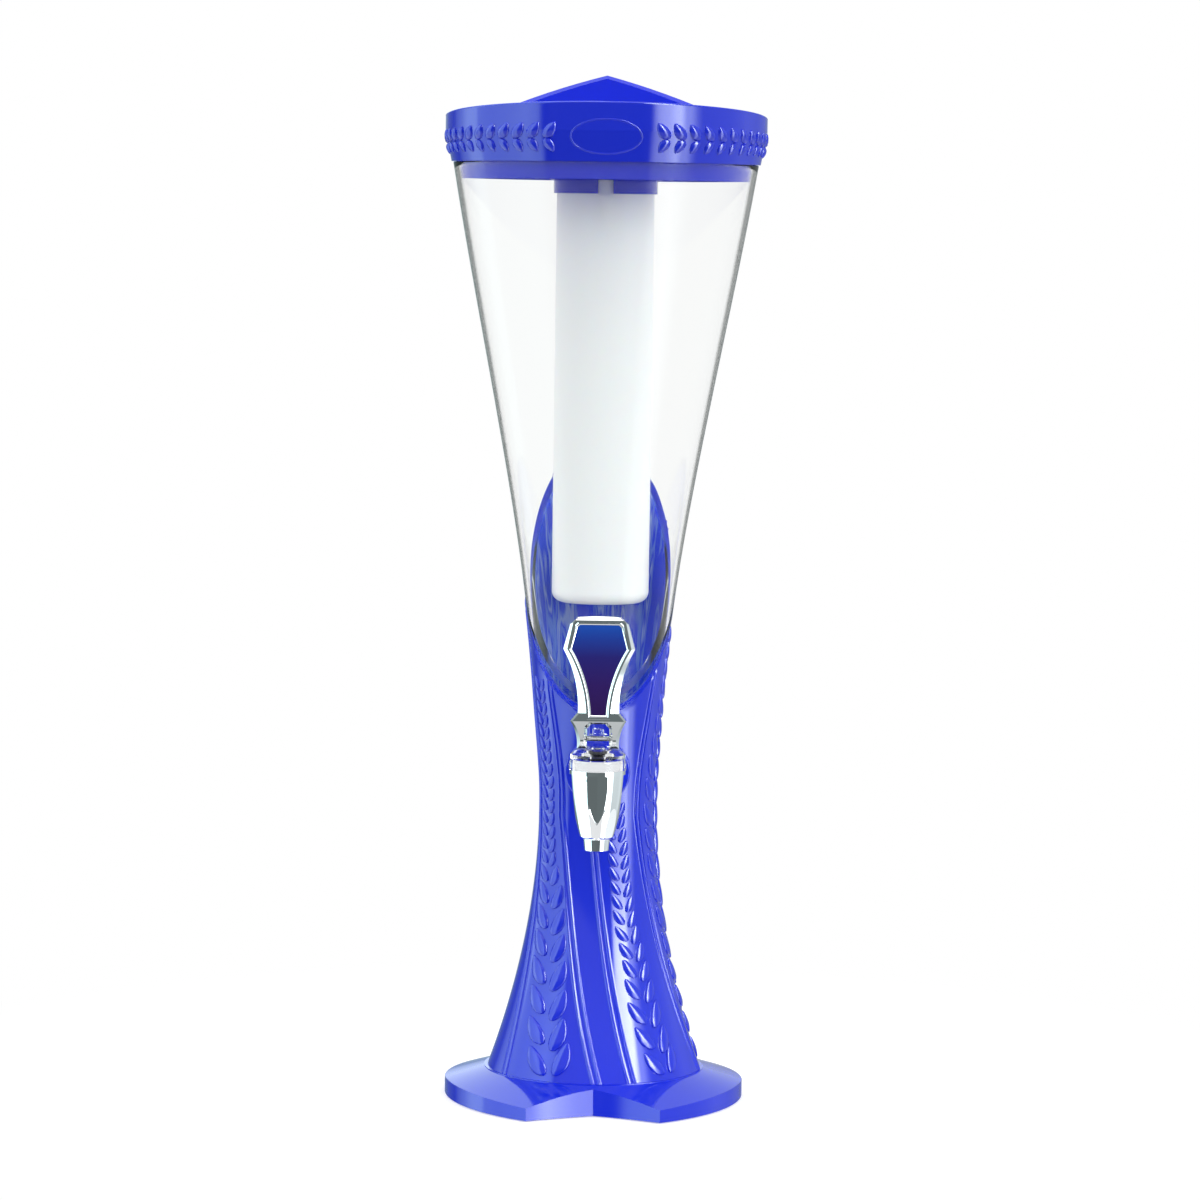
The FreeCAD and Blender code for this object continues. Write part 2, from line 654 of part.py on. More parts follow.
def lid_hollow():
    """The room inside the lid: one round space and the channel between plug and band."""
    high = LID_RIM_Z
    low = RIM_RADIUS + LID_OVERHANG - LID_WALL
    wide = LID_RADIUS - LID_WALL
    flare_z = LID_BOTTOM_Z + LID_FLARE_HEIGHT
    centre = disc(PLUG_TIP_RADIUS - PLUG_WALL, LID_BOTTOM_Z - OVERLAP, high)
    channel = revolved(
        [
            (PLUG_RADIUS, LID_BOTTOM_Z - OVERLAP), (low, LID_BOTTOM_Z - OVERLAP), (low, LID_BOTTOM_Z),
            (wide, flare_z), (wide, high), (PLUG_RADIUS, high),
        ]
    )
    return centre.fuse(channel).common(below_rim(DECK_DROP + DECK_THICKNESS))


def fin_outline(drop, y):
    """The fin's front view, a pointed arch, with its crest lowered by drop."""
    low = LID_RIM_Z - DECK_DROP - OVERLAP
    apex = Vector(0, y, LID_RIM_Z + FIN_RISE - drop)
    base_z = LID_RIM_Z - DECK_DROP / 2 - drop
    shoulder_z = base_z + FIN_SHOULDER_SHARE * (apex.z - base_z)
    half = FIN_HALF_LENGTH - drop
    return chain(
        Vector(-half, y, low),
        [
            (Vector(-half, y, base_z),),
            (Vector(-half / 2, y, shoulder_z), apex),
            (Vector(half / 2, y, shoulder_z), Vector(half, y, base_z)),
            (Vector(half, y, low),),
        ],
    )


def lid_fin():
    """The pointed grip across the lid, with its crest bevelled on both sides."""
    side = FIN_THICKNESS / 2
    inner = side - FIN_EDGE
    sections = [
        fin_outline(FIN_EDGE, -side),
        fin_outline(0, -inner),
        fin_outline(0, inner),
        fin_outline(FIN_EDGE, side),
    ]
    return Part.makeLoft(sections, True, True)


def sector(outer, inner, low, high, start, sweep):
    """Part of a ring that starts at an angle from straight ahead and runs anticlockwise from above."""
    solid = revolved([(inner, low), (outer, low), (outer, high), (inner, high)], sweep)
    solid.rotate(Vector(0, 0, 0), AXIS_Z, start - 90)
    return solid


def lug_start(index):
    """Where a lug of the closed bayonet starts."""
    return index * 360.0 / LUG_COUNT - TWIST_ANGLE - LUG_WIDTH_ANGLE / 2


def lid_socket():
    """The ring that takes the ice tube, with the bayonet's entries and grooves."""
    lip = ring(SOCKET_BORE + SOCKET_LIP_WALL, SOCKET_BORE, SOCKET_BOTTOM_Z, PLUG_BOTTOM_Z)
    wall = ring(SOCKET_OUTER, SOCKET_BORE, PLUG_BOTTOM_Z, LID_RIM_Z)
    solid = lip.fuse(wall)
    deep = SOCKET_BORE + GROOVE_DEPTH
    shallow = SOCKET_BORE - OVERLAP
    groove_low = LUG_Z - LUG_PLAY
    groove_high = LUG_Z + LUG_HEIGHT + LUG_PLAY
    width = LUG_WIDTH_ANGLE + 2 * NOTCH_SIDE_ANGLE
    for k in range(LUG_COUNT):
        start = lug_start(k) - NOTCH_SIDE_ANGLE
        entry = start + TWIST_ANGLE
        solid = solid.cut(sector(deep, shallow, groove_low, groove_high, start, TWIST_ANGLE + width))
        solid = solid.cut(sector(deep, shallow, SOCKET_BOTTOM_Z - OVERLAP, groove_high, entry, width))
    return solid


def lid_plug():
    """The skirt that reaches into the tank's mouth and narrows with it."""
    low = PLUG_TIP_RADIUS
    inner = low - PLUG_WALL
    return revolved(
        [
            (inner, PLUG_BOTTOM_Z), (low, PLUG_BOTTOM_Z), (PLUG_RADIUS, LID_BOTTOM_Z),
            (PLUG_RADIUS, LID_RIM_Z), (inner, LID_RIM_Z),
        ]
    )


def make_lid():
    deck = below_rim(DECK_DROP)
    shell = lid_band().cut(lid_hollow()).fuse(lid_plug().common(deck))
    shell = shell.fuse(lid_socket().common(deck))
    ceiling = disc(SOCKET_OUTER - OVERLAP, SOCKET_CEILING_Z, LID_RIM_Z).common(deck)
    return one_solid(shell.fuse([ceiling, lid_fin()]))


def make_tube_gasket():
    inner = TUBE_RADIUS - 2 * TUBE_WALL
    return ring(TUBE_RADIUS, inner, SOCKET_CEILING_Z - GASKET_THICKNESS, SOCKET_CEILING_Z)


# ---- Ice tube ------------------------------------------------------------------------------------
def tube_profile(radius, low, high, corner):
    """Half of a round-bottomed tube as a closed wire."""
    rest = corner * (1 - math.sqrt(0.5))
    return chain(
        Vector(0, 0, low),
        [
            (Vector(radius - corner, 0, low),),
            (Vector(radius - rest, 0, low + rest), Vector(radius, 0, low + corner)),
            (Vector(radius, 0, high),),
            (Vector(0, 0, high),),
        ],
    )


def make_ice_tube():
    outer = Part.Face(tube_profile(TUBE_RADIUS, TUBE_BOTTOM_Z, TUBE_TOP_Z, TUBE_CORNER))
    inner_radius = TUBE_RADIUS - TUBE_WALL
    inner_low = TUBE_BOTTOM_Z + TUBE_WALL
    inner = Part.Face(tube_profile(inner_radius, inner_low, TUBE_TOP_Z + OVERLAP, TUBE_CORNER - TUBE_WALL))
    solid = outer.revolve(Vector(0, 0, 0), AXIS_Z, 360)
    lug_low, lug_high = LUG_Z, LUG_Z + LUG_HEIGHT
    root = TUBE_RADIUS - TUBE_WALL / 2
    lugs = [
        sector(TUBE_RADIUS + LUG_REACH, root, lug_low, lug_high, lug_start(k), LUG_WIDTH_ANGLE)
        for k in range(LUG_COUNT)
    ]
    solid = solid.fuse(lugs + [tube_tab()])
    return one_solid(solid.cut(inner.revolve(Vector(0, 0, 0), AXIS_Z, 360)))


def tube_tab():
    """A small pointed tab under the socket's lip, which shows where the tube locks."""
    high = SOCKET_BOTTOM_Z - TAB_LOWER
    y = -(TUBE_RADIUS + TAB_PROUD)
    corners = [
        Vector(-TAB_WIDTH / 2, y, high),
        Vector(TAB_WIDTH / 2, y, high),
        Vector(0, y, high - TAB_LENGTH),
    ]
    return Part.Face(Part.makePolygon(corners + corners[:1])).extrude(Vector(0, TAB_PROUD + TAB_ROOT, 0))


# ---- Tap: fixed pieces ---------------------------------------------------------------------------
def at_spout(shape):
    """Moves a piece from the tower's axis to the spout's axis."""
    shape.translate(Vector(0, -TAP_REACH, 0))
    return shape


def spout_bullet():
    """The tapering spout: folded facets above that end in a point, and flat ones between below."""
    chin_z = SHANK_Z - CHIN_DROP
    nozzle_z = SHANK_Z - NOZZLE_DROP
    top = Vector(BARREL_RADIUS, 0, BARREL_TOP_Z)
    belly = Vector(BULLET_BELLY, 0, (BARREL_TOP_Z + chin_z) / 2)
    chin = Vector(CHIN_RADIUS, 0, chin_z)
    outline = chain(
        Vector(0, 0, BARREL_TOP_Z),
        [
            (top,),
            (belly, chin),
            (Vector(NOZZLE_RADIUS, 0, chin_z - CHIN_LIP),),
            (Vector(NOZZLE_TIP_RADIUS, 0, nozzle_z),),
            (Vector(0, 0, nozzle_z),),
        ],
    )
    solid = Part.Face(outline).revolve(Vector(0, 0, 0), AXIS_Z, 360)
    lower_top_z = BARREL_TOP_Z - LOWER_FACET_START * (BARREL_TOP_Z - chin_z)
    step = 360.0 / FACET_COUNT
    cuts = []
    for k in range(FACET_COUNT):
        cuts.append(facet_cutter(step * k, FACET_FOLD, FACET_TOP, BARREL_TOP_Z, FACET_SLOPE))
        flat = facet_cutter(step * (k + 0.5), 0, BULLET_BELLY, lower_top_z, LOWER_FACET_SLOPE)
        cuts.append(flat)
    return solid.cut(cuts)


def facet_cutter(azimuth, fold, distance, level, slope):
    """Cuts one facet, at a distance from the axis at a level; a fold makes a shallow valley."""
    wires = []
    reach = 2 * BARREL_RADIUS
    for z in (SHANK_Z - NOZZLE_DROP, BARREL_TOP_Z + OVERLAP):
        middle = distance - slope * (level - z)
        side = middle + reach * math.tan(math.radians(fold))
        corners = [
            Vector(0, -middle, z), Vector(reach, -side, z), Vector(reach, -side - reach, z),
            Vector(-reach, -side - reach, z), Vector(-reach, -side, z),
        ]
        wires.append(Part.makePolygon(corners + corners[:1]))
    cutter = Part.makeLoft(wires, True, True)
    cutter.rotate(Vector(0, 0, 0), AXIS_Z, azimuth)
    return cutter


def inner_end_y():
    """Where the shank ends inside the tank."""
    return PAD_Y + WASHER_THICKNESS + NUT_THICKNESS + SHANK_TAIL


def flange_y():
    """The flange's back face, against the outer washer."""
    return boss_face_y() - WASHER_THICKNESS


def make_tap_body():
    body = at_spout(spout_bullet())
    neck = at_spout(disc(SPOUT_NECK_RADIUS, BARREL_TOP_Z - OVERLAP, BARREL_TOP_Z + SPOUT_NECK_HEIGHT))
    collar = at_spout(disc(BARREL_RADIUS, BARREL_TOP_Z - COLLAR_HEIGHT, BARREL_TOP_Z))
    arm = rod_y(ARM_RADIUS, -TAP_REACH, flange_y() - OVERLAP, z=SHANK_Z)
    arm = arm.cut(at_spout(disc(BONNET_RADIUS + ARM_CLEAR, BARREL_TOP_Z, BONNET_TOP_Z)))
    flange = rod_y(FLANGE_RADIUS, flange_y() - FLANGE_THICKNESS, flange_y(), z=SHANK_Z)
    shank = rod_y(SHANK_RADIUS, flange_y() - OVERLAP, inner_end_y(), z=SHANK_Z)
    body = body.fuse([neck, collar, arm, flange, shank])
    bores = [
        at_spout(disc(CHAMBER_RADIUS, SEAT_Z, BARREL_TOP_Z + SPOUT_NECK_HEIGHT + OVERLAP)),
        at_spout(disc(OUTLET_RADIUS, SHANK_Z - NOZZLE_DROP - OVERLAP, SEAT_Z + OVERLAP)),
        rod_y(SHANK_BORE_RADIUS, -TAP_REACH, inner_end_y() + OVERLAP, z=SHANK_Z),
    ]
    return one_solid(body.cut(bores))


def washer(y_from, bore):
    solid = rod_y(WASHER_RADIUS, y_from, y_from + WASHER_THICKNESS, z=SHANK_Z)
    return solid.cut(rod_y(bore, y_from - OVERLAP, y_from + WASHER_THICKNESS + OVERLAP, z=SHANK_Z))


def make_outer_washer():
    return washer(flange_y(), SHANK_RADIUS + WASHER_BORE_GAP)


def make_inner_washer():
    return washer(PAD_Y, SHANK_RADIUS + WASHER_BORE_GAP)


def make_shank_nut():
    """The hexagonal nut that clamps tap, column and tank together from inside."""
    y = PAD_Y + WASHER_THICKNESS
    radius = NUT_ACROSS_FLATS / 2 / math.cos(math.pi / 6)
    corners = []
    for k in range(6):
        turn = math.radians(60 * k)
        corners.append(Vector(radius * math.cos(turn), y, SHANK_Z + radius * math.sin(turn)))
    nut = Part.Face(Part.makePolygon(corners + corners[:1])).extrude(Vector(0, NUT_THICKNESS, 0))
    bore = SHANK_RADIUS + WASHER_BORE_GAP
    return nut.cut(rod_y(bore, y - OVERLAP, y + NUT_THICKNESS + OVERLAP, z=SHANK_Z))


def stem_ring_z():
    """The middle of the stem's sealing ring."""
    return (BONNET_CEILING_Z + BONNET_TOP_Z) / 2


def make_tap_bonnet():
    """The clear stepped collar that screws over the spout's neck and guides the stem."""
    bore = STEM_RADIUS + SLIDE_FIT
    skirt = SPOUT_NECK_RADIUS + BONNET_GAP
    shoulder = BONNET_TOP_Z - BONNET_CHAMFER_HEIGHT
    middle = (BONNET_BOTTOM_Z + shoulder) / 2
    plug = CHAMBER_RADIUS - BONNET_GAP
    deep = bore + STEM_RING_SIZE + RING_GROOVE_PLAY
    groove_high = stem_ring_z() + STEM_RING_SIZE / 2 + RING_GROOVE_PLAY
    groove_low = stem_ring_z() - STEM_RING_SIZE / 2 - RING_GROOVE_PLAY
    profile = [
        (skirt, BONNET_BOTTOM_Z), (BONNET_RADIUS, BONNET_BOTTOM_Z), (BONNET_RADIUS, middle),
        (BONNET_RADIUS - BONNET_STEP, middle), (BONNET_RADIUS - BONNET_STEP, shoulder),
        (BONNET_TOP_RADIUS, BONNET_TOP_Z), (bore, BONNET_TOP_Z), (bore, groove_high),
        (deep, groove_high), (deep, groove_low), (bore, groove_low),
        (bore, BONNET_PLUG_Z), (plug, BONNET_PLUG_Z), (plug, BONNET_CEILING_Z), (skirt, BONNET_CEILING_Z),
    ]
    return at_spout(revolved(profile))


def make_stem_ring():
    """The square-section ring that seals the stem in the bonnet's groove."""
    bore = STEM_RADIUS + SLIDE_FIT
    half = STEM_RING_SIZE / 2
    return at_spout(ring(bore + STEM_RING_SIZE, bore, stem_ring_z() - half, stem_ring_z() + half))


# ---- Tap: moving pieces --------------------------------------------------------------------------
def make_stem():
    """The clear valve stem: flange below, head with the pin's hole above."""
    head_z = BONNET_TOP_Z + HEAD_CLEAR
    flange = disc(STEM_FLANGE_RADIUS, STEM_FLANGE_Z, STEM_FLANGE_Z + STEM_FLANGE_THICKNESS)
    shaft = disc(STEM_RADIUS, STEM_FLANGE_Z, head_z + OVERLAP)
    half_width, half_depth = HEAD_WIDTH / 2, HEAD_DEPTH / 2
    head = box(-half_width, half_width, -half_depth, half_depth, head_z, head_z + HEAD_HEIGHT)
    knob = disc(HEAD_KNOB_RADIUS, head_z, head_z + HEAD_HEIGHT + HEAD_KNOB_HEIGHT)
    stem = flange.fuse([shaft, head, knob])
    hole = rod_x(PIN_RADIUS + PIN_FIT, HEAD_WIDTH, PIN_Z)
    socket = disc(SEAL_PIN_RADIUS, STEM_FLANGE_Z, STEM_FLANGE_Z + SEAL_PIN_DEPTH + SEAL_PIN_PLAY)
    return at_spout(one_solid(stem.cut([hole, socket])))


def make_stem_seal():
    """The rubber disc that closes the seat, held by its own pip in the stem."""
    disc_part = disc(SEAL_RADIUS, SEAL_Z, STEM_FLANGE_Z)
    pip = disc(SEAL_PIN_RADIUS, STEM_FLANGE_Z, STEM_FLANGE_Z + SEAL_PIN_DEPTH)
    return at_spout(one_solid(disc_part.fuse(pip)))


def make_stem_spring():
    """The coil that presses the seal on its seat, of square wire for its few faces."""
    low = STEM_FLANGE_Z + STEM_FLANGE_THICKNESS + SPRING_END_GAP
    high = BONNET_PLUG_Z - SPRING_END_GAP
    rise = high - low - SPRING_WIRE
    helix = Part.makeHelix(rise / SPRING_TURNS, rise, SPRING_MEAN_RADIUS)
    half = SPRING_WIRE / 2
    corners = [
        Vector(SPRING_MEAN_RADIUS - half, 0, -half),
        Vector(SPRING_MEAN_RADIUS + half, 0, -half),
        Vector(SPRING_MEAN_RADIUS + half, 0, half),
        Vector(SPRING_MEAN_RADIUS - half, 0, half),
    ]
    section = Part.makePolygon(corners + corners[:1])
    coil = Part.Wire(helix.Edges).makePipeShell([section], True, True)
    coil.translate(Vector(0, 0, low + half))
    return at_spout(coil)


def make_handle_pin():
    return at_spout(rod_x(PIN_RADIUS, PRONG_HALF_WIDTH - PIN_INSET, PIN_Z))


def handle_point(x, height, y):
    """A point of the handle: height is above the pin, and the handle thins towards its top."""
    thin = 1.0 - TOP_TAPER * (height - CROWN_TIP)
    return Vector(x, y * thin, PIN_Z + height)


def paddle_outline(inset, y):
    """The handle's front view above the prongs, drawn in by inset."""
    neck = NECK_HALF_WIDTH - inset
    wide = WIDE_HALF_WIDTH - inset
    corner = CORNER_HALF_WIDTH - inset
    top = TOP_HALF_WIDTH - inset
    low = CROWN_TIP + inset
    sag_x = (neck + wide) / 2 - WAIST_SAG
    sag_height = (CROWN_TOP + WIDE_HEIGHT) / 2

    def at(side, half_width, height):
        return handle_point(side * half_width, height, y)

    return chain(
        at(-1, neck, low),
        [
            (at(1, neck, low),),
            (at(1, sag_x, sag_height), at(1, wide, WIDE_HEIGHT)),
            (at(1, corner, CORNER_HEIGHT - inset / 2),),
            (at(1, top, TOP_HEIGHT - inset),),
            (handle_point(0, TOP_CROWN - inset, y), at(-1, top, TOP_HEIGHT - inset)),
            (at(-1, corner, CORNER_HEIGHT - inset / 2),),
            (at(-1, wide, WIDE_HEIGHT),),
            (at(-1, sag_x, sag_height), at(-1, neck, low)),
        ],
    )


def handle_paddle():
    """The upper part of the handle, bevelled in front up to the groove and softened behind."""
    sections = [
        paddle_outline(BACK_ROUND, HANDLE_BACK),
        paddle_outline(0, HANDLE_BACK - BACK_ROUND),
        paddle_outline(0, BEVEL_DEPTH - HANDLE_FRONT),
        panel_outline(-LIP_WIDTH - RIM_GROOVE_WIDTH - RIM_LAND, -HANDLE_FRONT),
    ]
    return Part.makeLoft(sections, True, True)


def prong_outline(inset, y):
    """Front view of crown and prongs, drawn in by inset."""
    bottom = -CAM_RADIUS
    foot = PRONG_HALF_WIDTH - inset
    tip = CROWN_HALF_WIDTH - inset
    neck = NECK_HALF_WIDTH - inset

    def at(side, half_width, height):
        return Vector(side * half_width, y, PIN_Z + height)

    waist = (foot + tip) / 2 - PRONG_SAG
    middle = (CROWN_TIP + bottom) / 2 + PRONG_SAG_RISE
    return chain(
        at(-1, foot, bottom),
        [
            (at(1, foot, bottom),),
            (at(1, waist, middle), at(1, tip, CROWN_TIP)),
            (at(1, neck, CROWN_TOP + CROWN_LAP),),
            (at(-1, neck, CROWN_TOP + CROWN_LAP),),
            (at(-1, tip, CROWN_TIP),),
            (at(-1, waist, middle), at(-1, foot, bottom)),
        ],
    )


def bevelled(outline, inset):
    """Pulls a front view through the whole depth, drawn in by inset at the very front."""
    reach = CAM_OFFSET + CAM_RADIUS
    sections = [(0, 2 * reach), (0, BEVEL_DEPTH - HANDLE_FRONT), (inset, -reach)]
    return Part.makeLoft([outline(drawn_in, y) for drawn_in, y in sections], True, True)


def prong_side():
    """Side view of the prongs: the eccentric cam in front and the heel behind."""
    width = 2 * CROWN_HALF_WIDTH

    def at(y, height):
        return Vector(-width / 2, y, PIN_Z + height)

    slant = CAM_RADIUS * math.sqrt(0.5)
    outline = chain(
        at(-CAM_OFFSET, -CAM_RADIUS),
        [
            (at(-CAM_OFFSET - slant, -slant), at(-CAM_OFFSET - CAM_RADIUS, 0)),
            (at(-HANDLE_FRONT, CROWN_TIP),),
            (at(-HANDLE_FRONT, CROWN_TOP + CROWN_LAP),),
            (at(HANDLE_BACK, CROWN_TOP + CROWN_LAP),),
            (at(HEEL_DEPTH, CROWN_TIP),),
            (at(HEEL_DEPTH, -CAM_RADIUS),),
        ],
    )
    return Part.Face(outline).extrude(Vector(width, 0, 0))


def window_outline(inset, y):
    """Front view of the opening between the prongs, with cut corners at its top."""
    half = PRONG_INNER - inset
    high = WINDOW_TOP - inset

    def at(side, half_width, height):
        return Vector(side * half_width, y, PIN_Z + height)

    return chain(
        at(-1, half, -2 * CAM_RADIUS),
        [
            (at(1, half, -2 * CAM_RADIUS),),
            (at(1, half, high - WINDOW_CORNER),),
            (at(1, half - WINDOW_CORNER, high),),
            (at(-1, half - WINDOW_CORNER, high),),
            (at(-1, half, high - WINDOW_CORNER),),
        ],
    )


def panel_outline(inset, y):
    """The panel's front view: the paddle's outline drawn in, closed at its narrow foot."""
    neck = NECK_HALF_WIDTH - PANEL_RIM - PANEL_NECK_IN - inset
    wide = WIDE_HALF_WIDTH - PANEL_RIM - inset
    corner = CORNER_HALF_WIDTH - PANEL_RIM + PANEL_TOP_OUT - inset
    low = PANEL_BOTTOM + inset
    high = TOP_CROWN - PANEL_RIM - inset
    sag_x = (neck + wide) / 2 - WAIST_SAG + PANEL_SAG_EASE
    sag_height = (CROWN_TOP + WIDE_HEIGHT) / 2

    def at(side, half_width, height):
        return handle_point(side * half_width, height, y)

    return chain(
        at(-1, neck, low),
        [
            (at(1, neck, low),),
            (at(1, sag_x, sag_height), at(1, wide, WIDE_HEIGHT)),
            (at(1, corner, high - PANEL_TOP_CUT),),
            (at(1, corner - PANEL_TOP_CUT, high),),
            (at(-1, corner - PANEL_TOP_CUT, high),),
            (at(-1, corner, high - PANEL_TOP_CUT),),
            (at(-1, wide, WIDE_HEIGHT),),
            (at(-1, sag_x, sag_height), at(-1, neck, low)),
        ],
    )


def panel_slab(inset, front, back):
    return Part.makeLoft([panel_outline(inset, front), panel_outline(inset, back)], True, True)


def panel_lip():
    """The lip along the panel, bevelled outside; its foot runs on below the groove's floor."""
    crest = LIP_DROP - HANDLE_FRONT
    floor = RIM_GROOVE_DEPTH - HANDLE_FRONT
    foot = panel_outline(-LIP_WIDTH - LIP_BEVEL, 2 * floor - crest)
    return Part.makeLoft([foot, panel_outline(LIP_BEVEL - LIP_WIDTH, crest)], True, True)


def panel_mouth():
    """Widens the panel's pocket towards the lip's crest; both its ends run on past the lip."""
    front = PANEL_SUNK - HANDLE_FRONT
    crest = LIP_DROP - HANDLE_FRONT
    deep = panel_outline(LIP_BEVEL, 2 * front - crest)
    return Part.makeLoft([deep, panel_outline(-2 * LIP_BEVEL, 2 * crest - front)], True, True)


def make_tap_handle():
    prongs = bevelled(prong_outline, PRONG_BEVEL).common(prong_side())
    handle = handle_paddle().fuse(prongs).cut(bevelled(window_outline, -PRONG_BEVEL))
    groove_floor = RIM_GROOVE_DEPTH - HANDLE_FRONT
    handle = handle.cut(panel_slab(-LIP_WIDTH - RIM_GROOVE_WIDTH, -2 * HANDLE_FRONT, groove_floor))
    pocket_floor = -HANDLE_FRONT + PANEL_SUNK + PANEL_THICKNESS
    pocket = panel_slab(0, -2 * HANDLE_FRONT, pocket_floor).fuse(panel_mouth())
    handle = handle.fuse(panel_lip()).cut(pocket)
    hole = rod_x(PIN_RADIUS + PIN_FIT, 2 * CROWN_HALF_WIDTH, PIN_Z)
    return at_spout(one_solid(handle.cut(hole)))


def make_handle_panel():
    front = -HANDLE_FRONT + PANEL_SUNK
    return at_spout(panel_slab(PANEL_GAP, front, front + PANEL_THICKNESS))


# ---- Files ---------------------------------------------------------------------------------------
def save(name, shape):
    if isinstance(shape, list):
        shape = Part.makeCompound(shape)
    shape.exportStep("parts/" + name + ".step")


NODES = {
    "foot": make_foot,
    "foot_cover": make_foot_cover,
    "foot_pads": make_foot_pads,
    "cover_screws": make_cover_screws,
    "column": make_column,
    "column_screws": make_column_screws,
    "tank": make_tank,
    "lid": make_lid,
    "tube_gasket": make_tube_gasket,
    "ice_tube": make_ice_tube,
    "tap_body": make_tap_body,
    "outer_washer": make_outer_washer,
    "inner_washer": make_inner_washer,
    "shank_nut": make_shank_nut,
    "tap_bonnet": make_tap_bonnet,
    "stem_ring": make_stem_ring,
    "stem": make_stem,
    "stem_seal": make_stem_seal,
    "stem_spring": make_stem_spring,
    "handle_pin": make_handle_pin,
    "tap_handle": make_tap_handle,
    "handle_panel": make_handle_panel,
}

os.makedirs("parts", exist_ok=True)
for node, make in NODES.items():
    save(node, make())
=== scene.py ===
import math

import bmesh
import bpy
import numpy as np
from mathutils import Matrix, Vector


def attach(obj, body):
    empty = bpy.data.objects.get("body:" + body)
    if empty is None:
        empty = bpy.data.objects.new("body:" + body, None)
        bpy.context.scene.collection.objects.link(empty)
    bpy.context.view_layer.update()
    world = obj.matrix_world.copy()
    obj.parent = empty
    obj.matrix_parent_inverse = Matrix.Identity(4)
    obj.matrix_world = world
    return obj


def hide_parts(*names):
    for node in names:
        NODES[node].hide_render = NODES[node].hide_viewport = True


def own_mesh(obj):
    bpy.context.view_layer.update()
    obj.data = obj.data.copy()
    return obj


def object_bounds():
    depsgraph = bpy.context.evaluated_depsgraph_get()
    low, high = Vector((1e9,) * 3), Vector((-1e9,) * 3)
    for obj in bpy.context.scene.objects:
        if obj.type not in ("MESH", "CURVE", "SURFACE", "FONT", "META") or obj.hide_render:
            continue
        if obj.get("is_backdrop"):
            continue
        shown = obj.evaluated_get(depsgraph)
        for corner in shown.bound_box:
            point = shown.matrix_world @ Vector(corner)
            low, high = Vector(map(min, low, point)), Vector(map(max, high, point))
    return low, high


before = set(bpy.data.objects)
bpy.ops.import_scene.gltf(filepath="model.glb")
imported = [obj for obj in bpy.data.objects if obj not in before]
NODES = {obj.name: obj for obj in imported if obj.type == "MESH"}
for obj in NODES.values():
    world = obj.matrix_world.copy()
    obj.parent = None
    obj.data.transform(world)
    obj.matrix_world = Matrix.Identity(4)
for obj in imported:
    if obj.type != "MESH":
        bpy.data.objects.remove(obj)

# The tower's lengths are in millimetres up to make_piece(), which writes metres. Floor, lamps and
# camera are in metres. Angles round the tower are in degrees from straight ahead (-Y), positive
# towards +X.
CAD_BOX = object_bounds()
MM = 0.001


# ---- Surfaces of the tower -----------------------------------------------------------------------
def cubic_through(xs, ys):
    """A natural cubic through points, as a function of arrays."""
    xs, ys = np.array(xs, float), np.array(ys, float)
    h = np.diff(xs)
    n = len(xs)
    matrix = np.eye(n)
    right = np.zeros(n)
    for i in range(1, n - 1):
        matrix[i, i - 1:i + 2] = h[i - 1], 2 * (h[i - 1] + h[i]), h[i]
        right[i] = 6 * ((ys[i + 1] - ys[i]) / h[i] - (ys[i] - ys[i - 1]) / h[i - 1])
    bend = np.linalg.solve(matrix, right)

    def value(x):
        x = np.asarray(x, float)
        k = np.clip(np.searchsorted(xs, x) - 1, 0, n - 2)
        a, b = xs[k + 1] - x, x - xs[k]
        step = h[k]
        return (
            (bend[k] * a ** 3 + bend[k + 1] * b ** 3) / (6 * step)
            + (ys[k] / step - bend[k] * step / 6) * a
            + (ys[k + 1] / step - bend[k + 1] * step / 6) * b
        )

    return value


# The outside's radius at a level, from the foot's seam up to the tank's mouth.
skin = cubic_through(
    [18.9, 25, 40, 55, 70, 85, 100, 115, 130, 145, 160, 178, 200, 225, 250, 280, 310, 340, 370,
     400, 430, 460, 490, 520, 550, 578.3],
    [66.5, 64.36, 59.41, 54.92, 50.88, 47.31, 44.21, 41.58, 39.46, 37.87, 36.83, 36.3, 36.64,
     37.99, 39.91, 42.71, 46.18, 50.43, 55.33, 60.67, 66.27, 72.0, 77.77, 83.46, 88.94, 93.8],
)
SEAM_Z, WAIST_Z, TANK_TOP_Z = 18.9, 178.0, 578.3

# The oblique cut at the column's top is the plane z = CUT_Z + CUT_SLOPE * y.
CUT_Z, CUT_SLOPE, CUT_STEPS = 304.6, 1.618, 60

# The ribs' angles at the seam and at the waist. They get narrower by RIB_NARROWING up to the waist,
# and fan out by up to RIB_FAN degrees above it.
RIB_BASE = (1.5, 20.0, 78.5, 135.0, 191.5, 248.0, 304.5)
RIB_WAIST = (-36.5, -5.5, 42.5, 104.0, 165.5, 227.0, 288.5)
RIB_NARROWING = 0.3
RIB_FAN, FAN_LOW_Z, FAN_HIGH_Z = 22.0, 185, 285

# The tap: level of its shank, y of its spout and stem, and how far the stem lifts.
SHANK_Z, TAP_Y, STEM_LIFT = 207.5, -74.0, 2.2


def smooth_step(value, start, end):
    """0 up to start, 1 from end on, and a smooth rise between the two."""
    share = np.clip((np.asarray(value, float) - start) / (end - start), 0, 1)
    return share * share * (3 - 2 * share)


def rib_angle(index, z):
    """Angle of a rib at a level. An index past the last rib goes on round the column."""
    turn, index = divmod(index, len(RIB_BASE))
    share = np.clip((np.asarray(z, float) - SEAM_Z) / (WAIST_Z - SEAM_Z), 0, 1)
    angle = RIB_BASE[index] + (RIB_WAIST[index] - RIB_BASE[index]) * share
    angle = angle + RIB_FAN * np.sin(np.radians(angle)) * smooth_step(z, FAN_LOW_Z, FAN_HIGH_Z)
    return angle + 360.0 * turn


